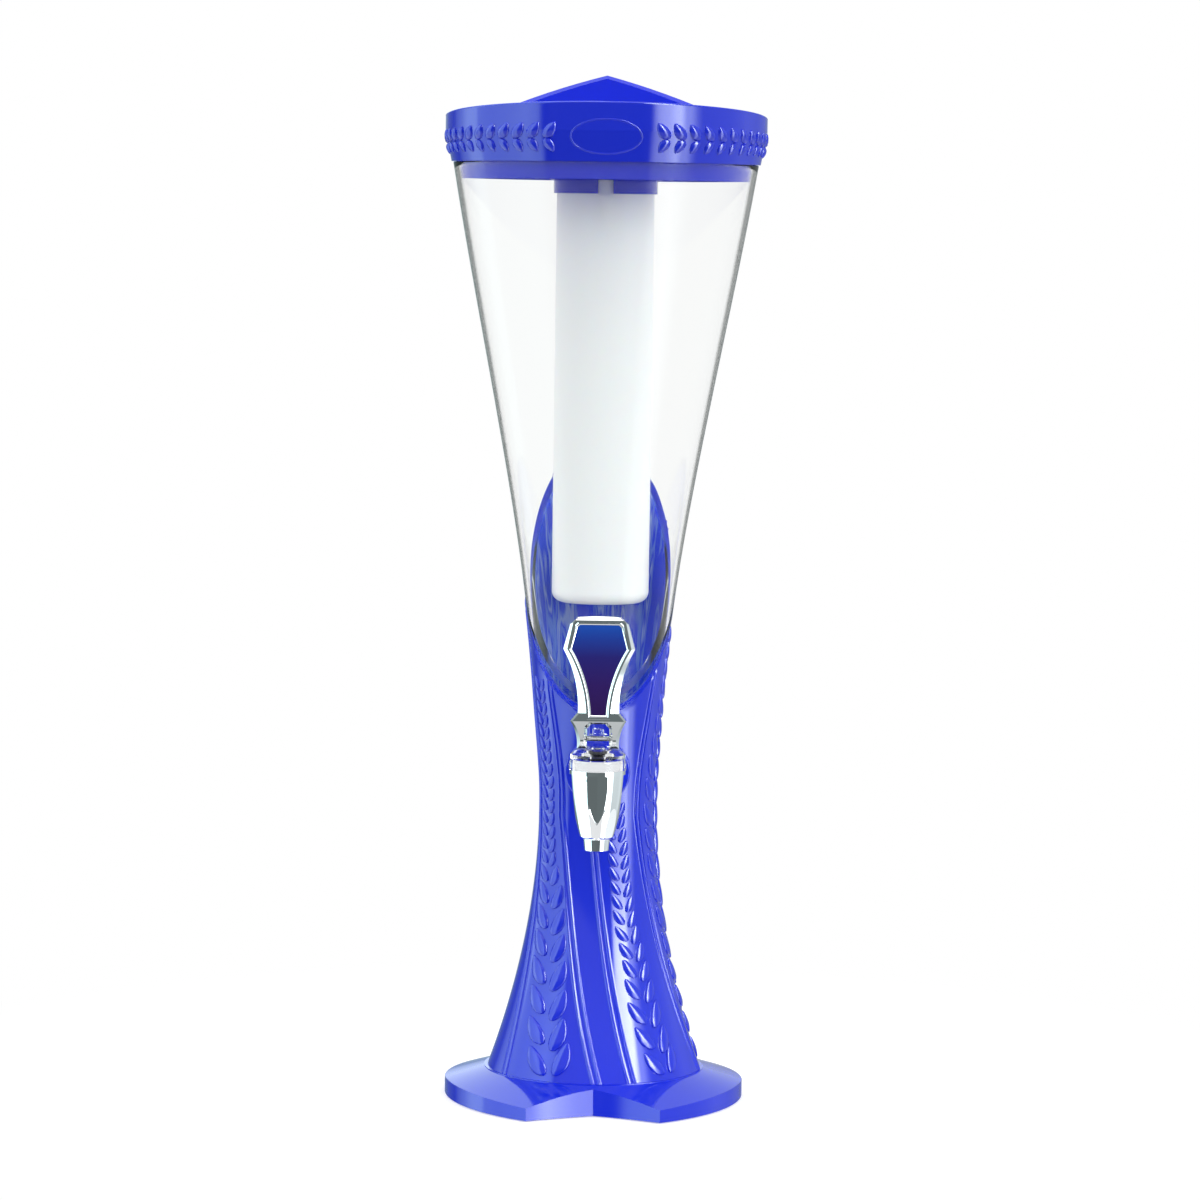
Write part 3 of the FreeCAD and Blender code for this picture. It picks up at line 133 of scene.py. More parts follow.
def polar(radius, angle, z):
    """Points from radius, angle and level."""
    turn = np.radians(angle)
    return np.stack([radius * np.sin(turn), -radius * np.cos(turn), z + 0 * turn], -1)


def plane_level(radius_at, angle_at, level):
    """Where a line of points up the tower meets the oblique plane z = level + CUT_SLOPE * y."""
    z = level + 0.0 * angle_at(level)
    for _ in range(CUT_STEPS):
        y = -radius_at(z) * np.cos(np.radians(angle_at(z)))
        z = 0.5 * z + 0.5 * (level + CUT_SLOPE * y)
    return z


# ---- Mesh helpers --------------------------------------------------------------------------------
def make_piece(name, points, faces, body, material, sharp=None):
    """A mesh object from millimetre points, smooth but for edges sharper than an angle."""
    mesh = bpy.data.meshes.new(name)
    mesh.from_pydata((np.asarray(points, float).reshape(-1, 3) * MM).tolist(), [], faces)
    shell = bmesh.new()
    shell.from_mesh(mesh)
    bmesh.ops.recalc_face_normals(shell, faces=shell.faces)
    shell.to_mesh(mesh)
    shell.free()
    piece = bpy.data.objects.new(name, mesh)
    bpy.context.scene.collection.objects.link(piece)
    mesh.materials.append(material)
    mesh.shade_smooth()
    if sharp is not None:
        mesh.set_sharp_from_angle(angle=math.radians(sharp))
    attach(piece, body)
    return piece


def grid_faces(rows, cols, wrap_cols=False, wrap_rows=False, flip=False):
    """Quads of a grid of points stored row by row."""
    faces = []
    for r in range(rows if wrap_rows else rows - 1):
        r2 = (r + 1) % rows
        for c in range(cols if wrap_cols else cols - 1):
            c2 = (c + 1) % cols
            quad = (r * cols + c, r * cols + c2, r2 * cols + c2, r2 * cols + c)
            faces.append(quad[::-1] if flip else quad)
    return faces


def end_faces(rows, cols):
    """The two faces that close a tube of points at its first and last row."""
    return [tuple(range(cols)), tuple((rows - 1) * cols + k for k in range(cols))]


def join_parts(parts):
    """Points and faces of several (points, faces) lists as one."""
    points, faces, start = [], [], 0
    for p, f in parts:
        p = np.asarray(p, float).reshape(-1, 3)
        points.append(p)
        faces += [tuple(start + k for k in face) for face in f]
        start += len(p)
    return np.concatenate(points), faces


# ---- Materials -----------------------------------------------------------------------------------
def set_inputs(node, **values):
    """Values of a node's inputs by name, with _ for a space."""
    for key, value in values.items():
        node.inputs[key.replace("_", " ")].default_value = value


class Tree:
    """Short calls for a tree of shader nodes."""

    def __init__(self, tree):
        self.tree = tree

    def add(self, kind, **settings):
        node = self.tree.nodes.new("ShaderNode" + kind)
        for key, value in settings.items():
            setattr(node, key, value)
        return node

    def link(self, source, target):
        self.tree.links.new(source, target)

    def join(self, node, *sources):
        """Feeds a node's inputs in order with sockets, numbers or colours. Gives its output."""
        for socket, source in zip(node.inputs, sources):
            if isinstance(source, tuple):
                socket.default_value = (*source, 1)
            elif isinstance(source, float):
                socket.default_value = source
            else:
                self.link(source, socket)
        return node.outputs[0]

    def math(self, operation, *sources):
        return self.join(self.add("Math", operation=operation), *sources)

    def mix(self, share, first, second):
        return self.join(self.add("MixShader"), share, first, second)

    def both(self, first, second):
        return self.join(self.add("AddShader"), first, second)

    def ramp(self, source, stops):
        """A colour ramp, its stops given as pairs of position and colour."""
        node = self.add("ValToRGB")
        elements = node.color_ramp.elements
        while len(elements) < len(stops):
            elements.new(0.5)
        for element, (place, colour) in zip(elements, stops):
            element.position = place
            element.color = (*colour, 1)
        self.link(source, node.inputs["Fac"])
        return node.outputs["Color"]


class Material(Tree):
    """A material with its principled shader."""

    def __init__(self, name):
        self.material = bpy.data.materials.new(name)
        self.material.use_nodes = True
        super().__init__(self.material.node_tree)
        self.shader = self.tree.nodes["Principled BSDF"]
        self.output = self.tree.nodes["Material Output"]

    def set(self, **values):
        set_inputs(self.shader, **values)

    def feed(self, **sources):
        """Links sockets to the shader's inputs by name, with _ for a space."""
        for key, source in sources.items():
            self.link(source, self.shader.inputs[key.replace("_", " ")])

    def show(self, surface):
        self.link(surface, self.output.inputs["Surface"])

    def noise(self, scale, detail, stretch=(1, 1, 1)):
        """Noise over the object. A small last value of stretch draws it out upright."""
        place = self.add("TexCoord")
        mapping = self.add("Mapping")
        set_inputs(mapping, Scale=stretch)
        texture = self.add("TexNoise")
        set_inputs(texture, Scale=scale, Detail=detail)
        self.link(place.outputs["Object"], mapping.inputs["Vector"])
        self.link(mapping.outputs["Vector"], texture.inputs["Vector"])
        return texture.outputs["Fac"]

    def span(self, source, low, high):
        """A source from 0 to 1, brought to low to high."""
        node = self.add("MapRange")
        set_inputs(node, To_Min=low, To_Max=high)
        self.link(source, node.inputs["Value"])
        return node.outputs["Result"]

    def share(self, source, start, end, **settings):
        """How far a source lies between start and end, from 0 to 1."""
        node = self.add("MapRange", **settings)
        set_inputs(node, From_Min=start, From_Max=end)
        self.link(source, node.inputs["Value"])
        return node.outputs["Result"]

    def axis(self, place, name):
        """One coordinate of a place."""
        node = self.add("SeparateXYZ")
        self.link(place, node.inputs[0])
        return node.outputs[name]

    def bump(self, source, distance, strength):
        node = self.add("Bump")
        set_inputs(node, Distance=distance, Strength=strength)
        self.link(source, node.inputs["Height"])
        self.feed(Normal=node.outputs["Normal"])


def blue_plastic(name, colour, deep):
    """Glossy moulded plastic with faint flow waves and a little haze."""
    m = Material(name)
    m.set(IOR=1.5)
    cloud = m.noise(scale=9.0, detail=2.0, stretch=(1, 1, 0.35))
    m.feed(Base_Color=m.ramp(cloud, [(0.3, deep), (0.7, colour)]))
    m.feed(Roughness=m.span(m.noise(scale=60.0, detail=4.0), low=0.05, high=0.1))
    m.bump(m.noise(scale=38.0, detail=1.5), distance=0.0001, strength=0.35)
    return m.material


def blue_with_painted_light(name):
    """Inside of the column: a lighter blue than outside, painted light for its dim inside, with
    pale upright streaks that are painted reflections of the nested tank.
    """
    m = Material(name)
    m.set(IOR=1.5, Roughness=0.3)
    upright = (1, 1, 0.01)
    # A lighter blue than the outside as painted light, and two pale bands as painted reflections of
    # the tank.
    stops = [
        (0.0, (0.01, 0.05, 0.85)), (0.44, (0.012, 0.06, 0.9)), (0.48, (0.18, 0.33, 0.9)),
        (0.52, (0.012, 0.06, 0.9)), (0.56, (0.38, 0.53, 0.93)), (0.61, (0.02, 0.08, 0.9)),
    ]
    m.feed(Base_Color=m.ramp(m.noise(scale=110.0, detail=2.0, stretch=upright), stops))
    m.bump(m.noise(scale=150.0, detail=2.0, stretch=upright), distance=0.0002, strength=0.5)
    return m.material


def clear_plastic(name, tint, edge, roughness, turn):
    """Clear moulded plastic that light passes on its way to what is behind it.

    Its tint turns to the edge colour between the two values of turn, which run from 0 where it
    faces the eye to 1 where it is seen edge-on. A dark edge colour is painted shade for the
    darkening that refraction gives where the wall is seen edge-on, together with some of the
    plastic's own tint through its thickness. Its index of refraction is lower than that of real
    acrylic, so that the picture behind it stays whole.
    """
    m = Material(name)
    m.set(Transmission_Weight=1.0, IOR=1.2, Specular_IOR_Level=0.9)
    facing = m.add("LayerWeight")
    set_inputs(facing, Blend=0.5)
    # Towards edge-on the tint goes to the edge colour; where that is dark it is painted shade.
    stops = [(0.0, tint), (turn[0], tint), (turn[1], edge), (1.0, edge)]
    m.feed(Base_Color=m.ramp(facing.outputs["Facing"], stops))
    haze = m.noise(scale=30.0, detail=3.0)
    m.feed(Roughness=m.span(haze, low=roughness, high=roughness + 0.03))
    path = m.add("LightPath")
    lighting = m.math("MAXIMUM", path.outputs["Is Shadow Ray"], path.outputs["Is Diffuse Ray"])
    clear = m.join(m.add("BsdfTransparent"), (0.995, 0.998, 0.998))
    m.show(m.mix(lighting, m.shader.outputs[0], clear))
    return m.material


def frosted_plastic(name):
    """White plastic with an uneven, silky face."""
    m = Material(name)
    m.set(IOR=1.45, Subsurface_Weight=0.15, Subsurface_Scale=0.01)
    cloud = m.noise(scale=7.0, detail=3.0, stretch=(1, 1, 0.12))
    m.feed(Base_Color=m.ramp(cloud, [(0.3, (0.93, 0.93, 0.92)), (0.7, (0.97, 0.968, 0.955))]))
    m.feed(Roughness=m.span(m.noise(scale=90.0, detail=3.0), low=0.28, high=0.42))
    m.bump(m.noise(scale=25.0, detail=2.0, stretch=(1, 1, 0.2)), distance=0.0002, strength=0.3)
    return m.material


def metal(name, colour, rough, grain=70.0, stretch=(1, 1, 1)):
    """Plated or bright metal; rough holds its least and greatest roughness."""
    m = Material(name)
    m.set(Metallic=1.0, Base_Color=(*colour, 1))
    m.feed(Roughness=m.span(m.noise(scale=grain, detail=3.0, stretch=stretch), *rough))
    m.bump(m.noise(scale=26.0, detail=2.0), distance=0.00004, strength=0.4)
    return m.material


def plain(name, dark, light, rough):
    """Rubber, nylon, silicone or matt plastic with a fine grain."""
    grain = 120.0
    m = Material(name)
    m.feed(Base_Color=m.ramp(m.noise(scale=14.0, detail=3.0), [(0.3, dark), (0.7, light)]))
    m.feed(Roughness=m.span(m.noise(scale=grain, detail=3.0), *rough))
    m.bump(m.noise(scale=grain, detail=3.0), distance=0.00008, strength=0.5)
    return m.material


PANEL_LOW_Z, PANEL_HIGH_Z = 245, 301


def panel_inlay(name):
    """Glossy inlay that turns from dark violet at its foot to blue at its top."""
    m = Material(name)
    m.set(IOR=1.5)
    place = m.add("TexCoord").outputs["Object"]
    height = m.share(m.axis(place, "Z"), PANEL_LOW_Z * MM, PANEL_HIGH_Z * MM)
    stops = [
        (0.0, (0.022, 0.004, 0.07)), (0.35, (0.024, 0.006, 0.11)), (0.65, (0.016, 0.012, 0.16)),
        (0.85, (0.01, 0.04, 0.3)), (1.0, (0.008, 0.07, 0.42)),
    ]
    m.feed(Base_Color=m.ramp(height, stops))
    m.feed(Roughness=m.span(m.noise(scale=50.0, detail=3.0), low=0.1, high=0.16))
    m.bump(m.noise(scale=35.0, detail=2.0), distance=0.00005, strength=0.4)
    return m.material


BLUE = blue_plastic("blue_gloss", (0.011, 0.028, 0.62), (0.009, 0.024, 0.57))
# The column's inside: blue with painted light and painted reflection streaks.
INNER_BLUE_PAINTED_LIGHT = blue_with_painted_light("blue_inside_painted_light")
COVER = plain("cover_blue_matte", (0.01, 0.014, 0.35), (0.013, 0.02, 0.42), rough=(0.4, 0.55))
# The dark edge colours of the tank and the bonnet are painted shade where their walls are seen
# edge-on.
CLEAR = clear_plastic(
    "tank_clear", tint=(0.965, 0.968, 0.965), edge=(0.13, 0.135, 0.13), roughness=0.0,
    turn=(0.69, 0.76),
)
CLEAR_INSIDE = clear_plastic(
    "tank_clear_inside", tint=(0.982, 0.988, 0.985), edge=(0.94, 0.96, 0.95), roughness=0.0,
    turn=(0.8, 0.95),
)
CLEAR_LEDGE = clear_plastic(
    "tank_clear_ledge", tint=(0.9, 0.96, 0.94), edge=(0.9, 0.96, 0.94), roughness=0.3,
    turn=(0.8, 0.95),
)
BONNET = clear_plastic(
    "bonnet_clear", tint=(0.95, 0.96, 0.965), edge=(0.55, 0.58, 0.58), roughness=0.05,
    turn=(0.72, 0.93),
)
FROST = frosted_plastic("tube_frosted")
CHROME = metal("tap_chrome", (0.88, 0.885, 0.9), rough=(0.03, 0.09))
STEEL = metal("steel_bright", (0.6, 0.6, 0.6), rough=(0.2, 0.35), grain=160.0, stretch=(1, 1, 6))
SILICONE = plain(
    "silicone_clear_white", (0.66, 0.67, 0.67), (0.76, 0.77, 0.77), rough=(0.35, 0.5)
)
RUBBER = plain("rubber_black", (0.02, 0.02, 0.022), (0.035, 0.035, 0.038), rough=(0.55, 0.75))
NYLON = plain("nylon_white", (0.72, 0.72, 0.7), (0.82, 0.82, 0.8), rough=(0.3, 0.45))


# ---- Column --------------------------------------------------------------------------------------
# Cross-section of a rib as (offset, height): two fine ridges with a shallow band between them.
RIB_PROFILE = (
    (-4.4, 0.0), (-3.3, 0.02), (-2.75, 0.3), (-2.4, 0.78), (-2.1, 0.92), (-1.8, 0.78),
    (-1.45, 0.35), (-0.8, 0.16), (0.0, 0.12), (0.8, 0.16), (1.45, 0.35), (1.8, 0.78), (2.1, 0.92),
    (2.4, 0.78), (2.75, 0.3), (3.3, 0.02), (4.4, 0.0),
)
# Steps across the hollow band between two ribs, and its depth.
BAND_STEPS, BAND_HOLLOW = 14, 0.45
COLUMN_ROWS, COLUMN_INNER_ROWS, COLUMN_WALL = 170, 60, 3.0
# Over the last RIM_FADE_REACH below the cut the relief loses this share of its height.
RIM_FADE, RIM_FADE_REACH = 0.6, 3.0
# The pad under the tap's washer: radius, rounding, rise above the skin, depth, straight edge, bore.
BOSS_RADIUS, BOSS_ROUND, BOSS_RISE = 20.0, 1.2, 3.45
BOSS_DEPTH, BOSS_EDGE_DEPTH, BOSS_BORE = 14, 1.6, 8.4


def column_lines():
    """For each line of points up the column: its angle as a function of z, and its height."""
    lines = []
    edge = RIB_PROFILE[-1][0]

    def narrow(z):
        return 1 - RIB_NARROWING * smooth_step(z, SEAM_Z, WAIST_Z)

    for i in range(len(RIB_BASE)):
        for offset, height in RIB_PROFILE:
            def on_rib(z, i=i, offset=offset):
                return rib_angle(i, z) + np.degrees(offset * narrow(z) / skin(z))

            lines.append((on_rib, height))
        for k in range(1, BAND_STEPS):
            share = k / BAND_STEPS

            def between(z, i=i, share=share):
                margin = np.degrees(edge * narrow(z) / skin(z))
                low = rib_angle(i, z) + margin
                high = rib_angle(i + 1, z) - margin
                return low + share * (high - low)

            lines.append((between, -BAND_HOLLOW * math.sin(math.pi * share)))
    return lines


def column_sheet(lines, rows, inset, relief):
    """A grid of points from the seam up to the oblique cut."""
    points = np.zeros((rows, len(lines), 3))
    for c, (angle_at, height) in enumerate(lines):
        out = relief * height - inset
        top = plane_level(lambda z: skin(z) + out, angle_at, CUT_Z)
        z = SEAM_Z + (top - SEAM_Z) * np.linspace(0, 1, rows)
        fade = 1 - smooth_step(z, top - RIM_FADE_REACH, top) * RIM_FADE
        points[:, c] = polar(skin(z) + relief * height * fade - inset, angle_at(z), z)
    return points


def boss():
    """The round pad under the tap's washer, with a rounded edge."""
    face = skin(SHANK_Z) + BOSS_RISE
    profile = [(BOSS_RADIUS, face - BOSS_DEPTH), (BOSS_RADIUS, face - BOSS_EDGE_DEPTH)]
    middle, level = BOSS_RADIUS - BOSS_ROUND, face - BOSS_ROUND
    for a in np.linspace(0, math.pi / 2, 6):
        profile.append((middle + BOSS_ROUND * math.cos(a), level + BOSS_ROUND * math.sin(a)))
    profile.append((BOSS_BORE, face))
    turn = np.radians(np.arange(0, 360, 6))
    points = [
        [(r * math.cos(a), -y, SHANK_Z + r * math.sin(a)) for a in turn] for r, y in profile
    ]
    return points, grid_faces(len(profile), len(turn), wrap_cols=True, flip=True)


def make_column():
    """The column's shell: blue outside, inside a lighter blue with painted light and painted
    reflections, and the tap's pad.
    """
    lines = column_lines()
    n = len(lines)
    outer = column_sheet(lines, COLUMN_ROWS, 0.0, 1.0)
    inner = column_sheet(lines, COLUMN_INNER_ROWS, COLUMN_WALL, 0.0)
    loop = np.concatenate([outer, inner[::-1]])
    shell = (loop, grid_faces(len(loop), n, wrap_cols=True, wrap_rows=True))
    piece = make_piece("column_shell", *join_parts([shell, boss()]), "tower", BLUE, sharp=50)
    piece.data.materials.append(INNER_BLUE_PAINTED_LIGHT)
    for face in piece.data.polygons[COLUMN_ROWS * n:(len(loop) - 1) * n]:
        face.material_index = 1
    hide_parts("column")


# ---- Wheat ears ----------------------------------------------------------------------------------
# A leaf's cross-section, as places across it and their heights, and the places along its length.
ACROSS = (-1.0, -0.94, -0.66, -0.3, 0.0, 0.3, 0.66, 0.94, 1.0)
ACROSS_HEIGHT = (-1.0, 0.4, 0.68, 0.9, 1.0, 0.86, 0.6, 0.36, -1.0)
ALONG = (
    0.0, 0.02, 0.06, 0.13, 0.22, 0.32, 0.43, 0.54, 0.65, 0.75, 0.84, 0.91, 0.96, 0.99, 1.0,
)
LEAF_BEND = 0.05


def leaf(place, side, lean, length, half_width, height, sink):
    """One almond-shaped leaf whose edges lie sink below the surface.

    place(u, v, h) puts it there, with u sideways, v up and h outwards.
    """
    points = []
    turn = math.radians(lean)
    for t in ALONG:
        width = half_width * math.sin(math.pi * t ** 0.84) ** 0.66
        rise = min(1.0, (math.sin(math.pi * t ** 0.8) + 0.001) ** 0.5)
        along = length * t
        swing = length * LEAF_BEND * math.sin(math.pi * t)
        tip = t in (0.0, 1.0)
        for s, share in zip(ACROSS, ACROSS_HEIGHT):
            across = s * width + swing
            u = side * (along * math.sin(turn) + across * math.cos(turn))
            v = along * math.cos(turn) - across * math.sin(turn)
            points.append(place(u, v, -sink if tip or share < 0 else height * share * rise))
    return points, grid_faces(len(ALONG), len(ACROSS), flip=side < 0)


def on_column(angle, level, lean):
    """Places a leaf with its v axis turned by lean (radians) from the line up the column."""
    slope = (skin(level + 1) - skin(level - 1)) / 2
    stretch = 1 / math.sqrt(1 + slope ** 2)

    def place(u, v, h):
        across = u * math.cos(lean) + v * math.sin(lean)
        z = level + (v * math.cos(lean) - u * math.sin(lean)) * stretch
        r = float(skin(z))
        return polar(r + h, angle + math.degrees(across / r), z)

    return place


# Each ear: index of the rib on its left, how far its stem lies from the middle by level, the
# pitch of its leaves by level, and the level where it ends at the latest.
WIDE_PITCH = ((20, 16.8), (130, 16.5), (180, 15.0), (220, 12.5), (290, 9.7))
EARS = (
    (1, ((20, -4.6), (60, -4.0), (90, -1.8), (110, -2.8), (130, -2.0), (160, -0.5)),
     ((22, 15.4), (50, 15.0), (67, 13.0), (80, 11.6), (100, 10.1), (128, 8.6), (178, 8.0)), 182.0),
    (2, ((20, 0.0),), WIDE_PITCH, 400.0),
    (3, ((20, 0.0),), WIDE_PITCH, 400.0),
    (4, ((20, 0.0),), WIDE_PITCH, 400.0),
    (6, ((22, 3.4), (45, 1.6), (80, 0.8), (130, 0.0), (150, -2.0), (212, -1.7), (235, 0.2),
         (262, 2.6)),
     ((22, 18.0), (75, 17.0), (110, 15.2), (132, 12.4), (147, 8.4), (180, 7.6), (300, 7.3)), 400.0),
)
# The lowest leaves, how far the highest ones stay below the cut, and the reach above and below a
# leaf over which its stem's direction is measured.
EAR_LOW_Z, EAR_RIM_GAP, STEM_REACH = 22.5, 14, 4.0
# By the pitch: a leaf's length, the distance of its foot from the stem, and how much lower the
# right leaf of a pair starts, which it does only above EAR_STAGGER_Z.
EAR_LENGTH, EAR_FOOT, EAR_STAGGER, EAR_STAGGER_Z = 1.22, 0.17, 0.22, 26
# Lean of a leaf from its stem, half its width by its length, its height, and how deep it sinks.
EAR_LEAN, EAR_HALF_WIDTH, EAR_SINK = 29, 0.235, 1.0
EAR_HEIGHT, EAR_HEIGHT_BY_LENGTH = 0.3, 0.06


def ear_leaves(rib, shifts, pitches, end):
    """The pairs of leaves of one ear, from the foot up."""
    def stem(z):
        middle = (rib_angle(rib, z) + rib_angle(rib + 1, z)) / 2
        return float(middle + np.degrees(np.interp(z, *zip(*shifts)) / skin(z)))

    leaves = []
    z = EAR_LOW_Z
    while True:
        angle, radius = stem(z), float(skin(z))
        pitch = float(np.interp(z, *zip(*pitches)))
        rim = CUT_Z - CUT_SLOPE * radius * math.cos(math.radians(angle))
        if z > min(end, rim - EAR_RIM_GAP):
            return leaves
        length = EAR_LENGTH * pitch
        half_width, height = EAR_HALF_WIDTH * length, EAR_HEIGHT_BY_LENGTH * length + EAR_HEIGHT
        aside = math.radians(stem(z + STEM_REACH) - stem(z - STEM_REACH)) * radius
        lean = math.atan2(aside, 2 * STEM_REACH)
        for side in (-1, 1):
            start = z - EAR_STAGGER * pitch if side > 0 and z > EAR_STAGGER_Z else z
            foot = angle + side * math.degrees(EAR_FOOT * pitch / radius)
            place = on_column(foot, start, lean)
            leaves.append(leaf(place, side, EAR_LEAN, length, half_width, height, EAR_SINK))
        z += pitch


def make_ears():
    leaves = []
    for ear in EARS:
        leaves += ear_leaves(*ear)
    piece = make_piece("column_wheat_leaves", *join_parts(leaves), "tower", BLUE)


# ---- Tank ----------------------------------------------------------------------------------------
# Rows of the wall above the ledge and of the part nested in the column.
TANK_ROWS, NEST_ROWS = 70, 40
TANK_WALL, NEST_INSET, LEDGE_GAP = 3.0, 3.3, 0.1
# The tank's bottom: its outside and inside levels, and the radii where its rounding begins.
TANK_LOW_Z, TANK_FLOOR_Z = 186.0, 189.0
TANK_LOW_RADIUS, TANK_FLOOR_RADIUS, AXIS_RADIUS = 29.5, 28.5, 0.01
# Heights of the roundings at the mouth, the ledge and the bottom's outside and inside, and the
# width of those at the mouth and the ledge.
MOUTH_ROUND, LEDGE_ROUND, LOW_ROUND, FLOOR_ROUND, ROUND_WIDTH = 0.5, 0.3, 0.5, 1.0, 0.4


def tank_profile(angle):
    """Radii and levels round the tank's wall at one angle, from the mouth down and back up."""
    lean = math.sqrt(1 + CUT_SLOPE ** 2)

    def wall(inset, high, low, rows):
        return [(float(skin(z)) - inset, z) for z in np.linspace(high, low, rows)]

    def meet(inset, level):
        return float(plane_level(lambda z: skin(z) - inset, lambda z: angle + 0.0 * z, level))

    below = CUT_Z + LEDGE_GAP * lean
    above = below + TANK_WALL * lean
    nest_inset = NEST_INSET + TANK_WALL
    ledge, rim = meet(0, below), TANK_TOP_Z - MOUTH_ROUND
    points = wall(0, rim, ledge + LEDGE_ROUND, TANK_ROWS)
    points += [(float(skin(ledge)) - ROUND_WIDTH, ledge)]
    points += wall(NEST_INSET, meet(NEST_INSET, below), TANK_LOW_Z + LOW_ROUND, NEST_ROWS)
    points += [(TANK_LOW_RADIUS, TANK_LOW_Z), (AXIS_RADIUS, TANK_LOW_Z)]
    points += [(AXIS_RADIUS, TANK_FLOOR_Z), (TANK_FLOOR_RADIUS, TANK_FLOOR_Z)]
    points += wall(nest_inset, TANK_FLOOR_Z + FLOOR_ROUND, meet(nest_inset, above), NEST_ROWS)
    points += wall(TANK_WALL, meet(TANK_WALL, above), rim, TANK_ROWS)
    for inset in (TANK_WALL - ROUND_WIDTH, ROUND_WIDTH):
        points.append((float(skin(TANK_TOP_Z)) - inset, TANK_TOP_Z))
    return points


def make_tank():
    """The clear vessel. Its outer wall, the rings of its ledge and the rest differ in material."""
    angles = np.arange(0, 360, 2.0)
    columns = []
    for angle in angles:
        r, z = np.array(tank_profile(angle)).T
        columns.append(polar(r, angle, z))
    points = np.array(columns)
    size = points.shape[1]
    faces = grid_faces(len(angles), size, wrap_cols=True, wrap_rows=True, flip=True)
    piece = make_piece("tank_vessel", points, faces, "tower", CLEAR, sharp=40)
    piece.data.materials.append(CLEAR_INSIDE)
    piece.data.materials.append(CLEAR_LEDGE)
    ledge = (TANK_ROWS - 1, TANK_ROWS, size - TANK_ROWS - 3)
    for face in piece.data.polygons:
        place = face.index % size
        face.material_index = 2 if place in ledge else int(place > TANK_ROWS - 2)
    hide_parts("tank")


# ---- Lid trim ------------------------------------------------------------------------------------
LID_BOTTOM_Z, LID_FLARE_Z = 578.6, 597.0
LID_LOW_RADIUS, LID_RADIUS, LID_WALL = 94.9, 98.7, 2.6
LID_RIM_Z, LID_RIM_SLOPE = 606.1, 0.0728
# How far anything on the lid may reach along x or y.
LID_REACH = 98.9
# The rows of leaves: leaves on each side, the angle of the first, the step to the next, their level
# and its slope with y. Between two angles they get smaller by LEAVES_SHRINK.
LEAVES, LEAVES_START, LEAVES_STEP = 25, 22.6, 6.15
LEAVES_Z, LEAVES_SLOPE = 589.6, 0.029
LEAVES_SHRINK, SHRINK_START, SHRINK_END = 0.2, 20, 90
# Each row: gap to the middle line, lean, length, half the width, height.
UPPER_ROW = (0.3, 41, 12.2, 3.6, 2.0)
LOWER_ROW = (0.6, 40, 9.8, 3.1, 1.7)
LEAVES_SINK = 0.6
# The oval's level, its half axes, and the cross-section of its line as (offset, height).
OVAL_Z, OVAL_HALF_WIDTH, OVAL_HALF_HEIGHT = 593.4, 21.4, 10.3
OVAL_LINE = ((-0.6, -0.2), (-0.45, 0.12), (0.0, 0.2), (0.45, 0.12), (0.6, -0.2))
LIP_RISE, LIP_OVERLAP = 1.0, 0.05


def lid_radius(z):
    return float(np.interp(z, (LID_BOTTOM_Z, LID_FLARE_Z), (LID_LOW_RADIUS, LID_RADIUS)))


def on_lid(angle, level):
    """Places a leaf or a line on the lid's wall, and keeps it within the lid's reach."""
    def place(u, v, h):
        z = level + v
        r = lid_radius(z)
        turn = math.radians(angle) + u / r
        reach = LID_REACH / max(abs(math.sin(turn)), abs(math.cos(turn)))
        return polar(min(r + h, reach), math.degrees(turn), z)

    return place


def lid_leaf(side, angle, level, size, row, up):
    """A leaf of the upper row (up = 1) or of the lower one (up = -1), which hangs upside down."""
    gap, lean, length, half_width, height = row
    place = on_lid(angle, level + up * gap)
    points, faces = leaf(
        lambda u, v, h: place(u, up * v, h), -side, lean, length * size, half_width * size, height,
        LEAVES_SINK,
    )
    return points, [face[::up] for face in faces]


def make_lid_leaves():
    """Two rows of leaves that point to the bare oval in front."""
    leaves = []
    for side in (-1, 1):
        for k in range(LEAVES):
            angle = side * (LEAVES_START + LEAVES_STEP * k)
            y = -LID_RADIUS * math.cos(math.radians(angle))
            level = LEAVES_Z - LEAVES_SLOPE * y
            size = 1.0 - LEAVES_SHRINK * smooth_step(abs(angle), SHRINK_START, SHRINK_END)
            leaves.append(lid_leaf(side, angle, level, size, UPPER_ROW, 1))
            leaves.append(lid_leaf(side, angle, level, size, LOWER_ROW, -1))
    piece = make_piece("lid_wheat_leaves", *join_parts(leaves), "lid_part", BLUE)


def make_lid_oval():
    """The fine raised line of the bare oval."""
    turn = np.radians(np.arange(0, 360, 3))
    place = on_lid(0, OVAL_Z)
    rows = []
    for grow, h in OVAL_LINE:
        wide, tall = OVAL_HALF_WIDTH + grow, OVAL_HALF_HEIGHT + grow
        rows.append([place(wide * math.cos(a), tall * math.sin(a), h) for a in turn])
    faces = grid_faces(len(rows), len(turn), wrap_cols=True)
    piece = make_piece("lid_oval_line", rows, faces, "lid_part", BLUE)


def make_lid_lip():
    """The rounded lip along the lid's oblique rim."""
    angles = np.arange(0, 360, 2.0)
    middle, half = LID_RADIUS - LID_WALL / 2, LID_WALL / 2
    rows = []
    for a in np.linspace(0, math.pi, 9):
        r = middle + (half + LIP_OVERLAP) * math.cos(a)
        y = -r * np.cos(np.radians(angles))
        level = LID_RIM_Z - LID_RIM_SLOPE * y + LIP_RISE * math.sin(a) - LIP_OVERLAP
        rows.append(polar(r, angles, level))
    faces = grid_faces(len(rows), len(angles), wrap_cols=True)
    piece = make_piece("lid_rim_lip", rows, faces, "lid_part", BLUE)


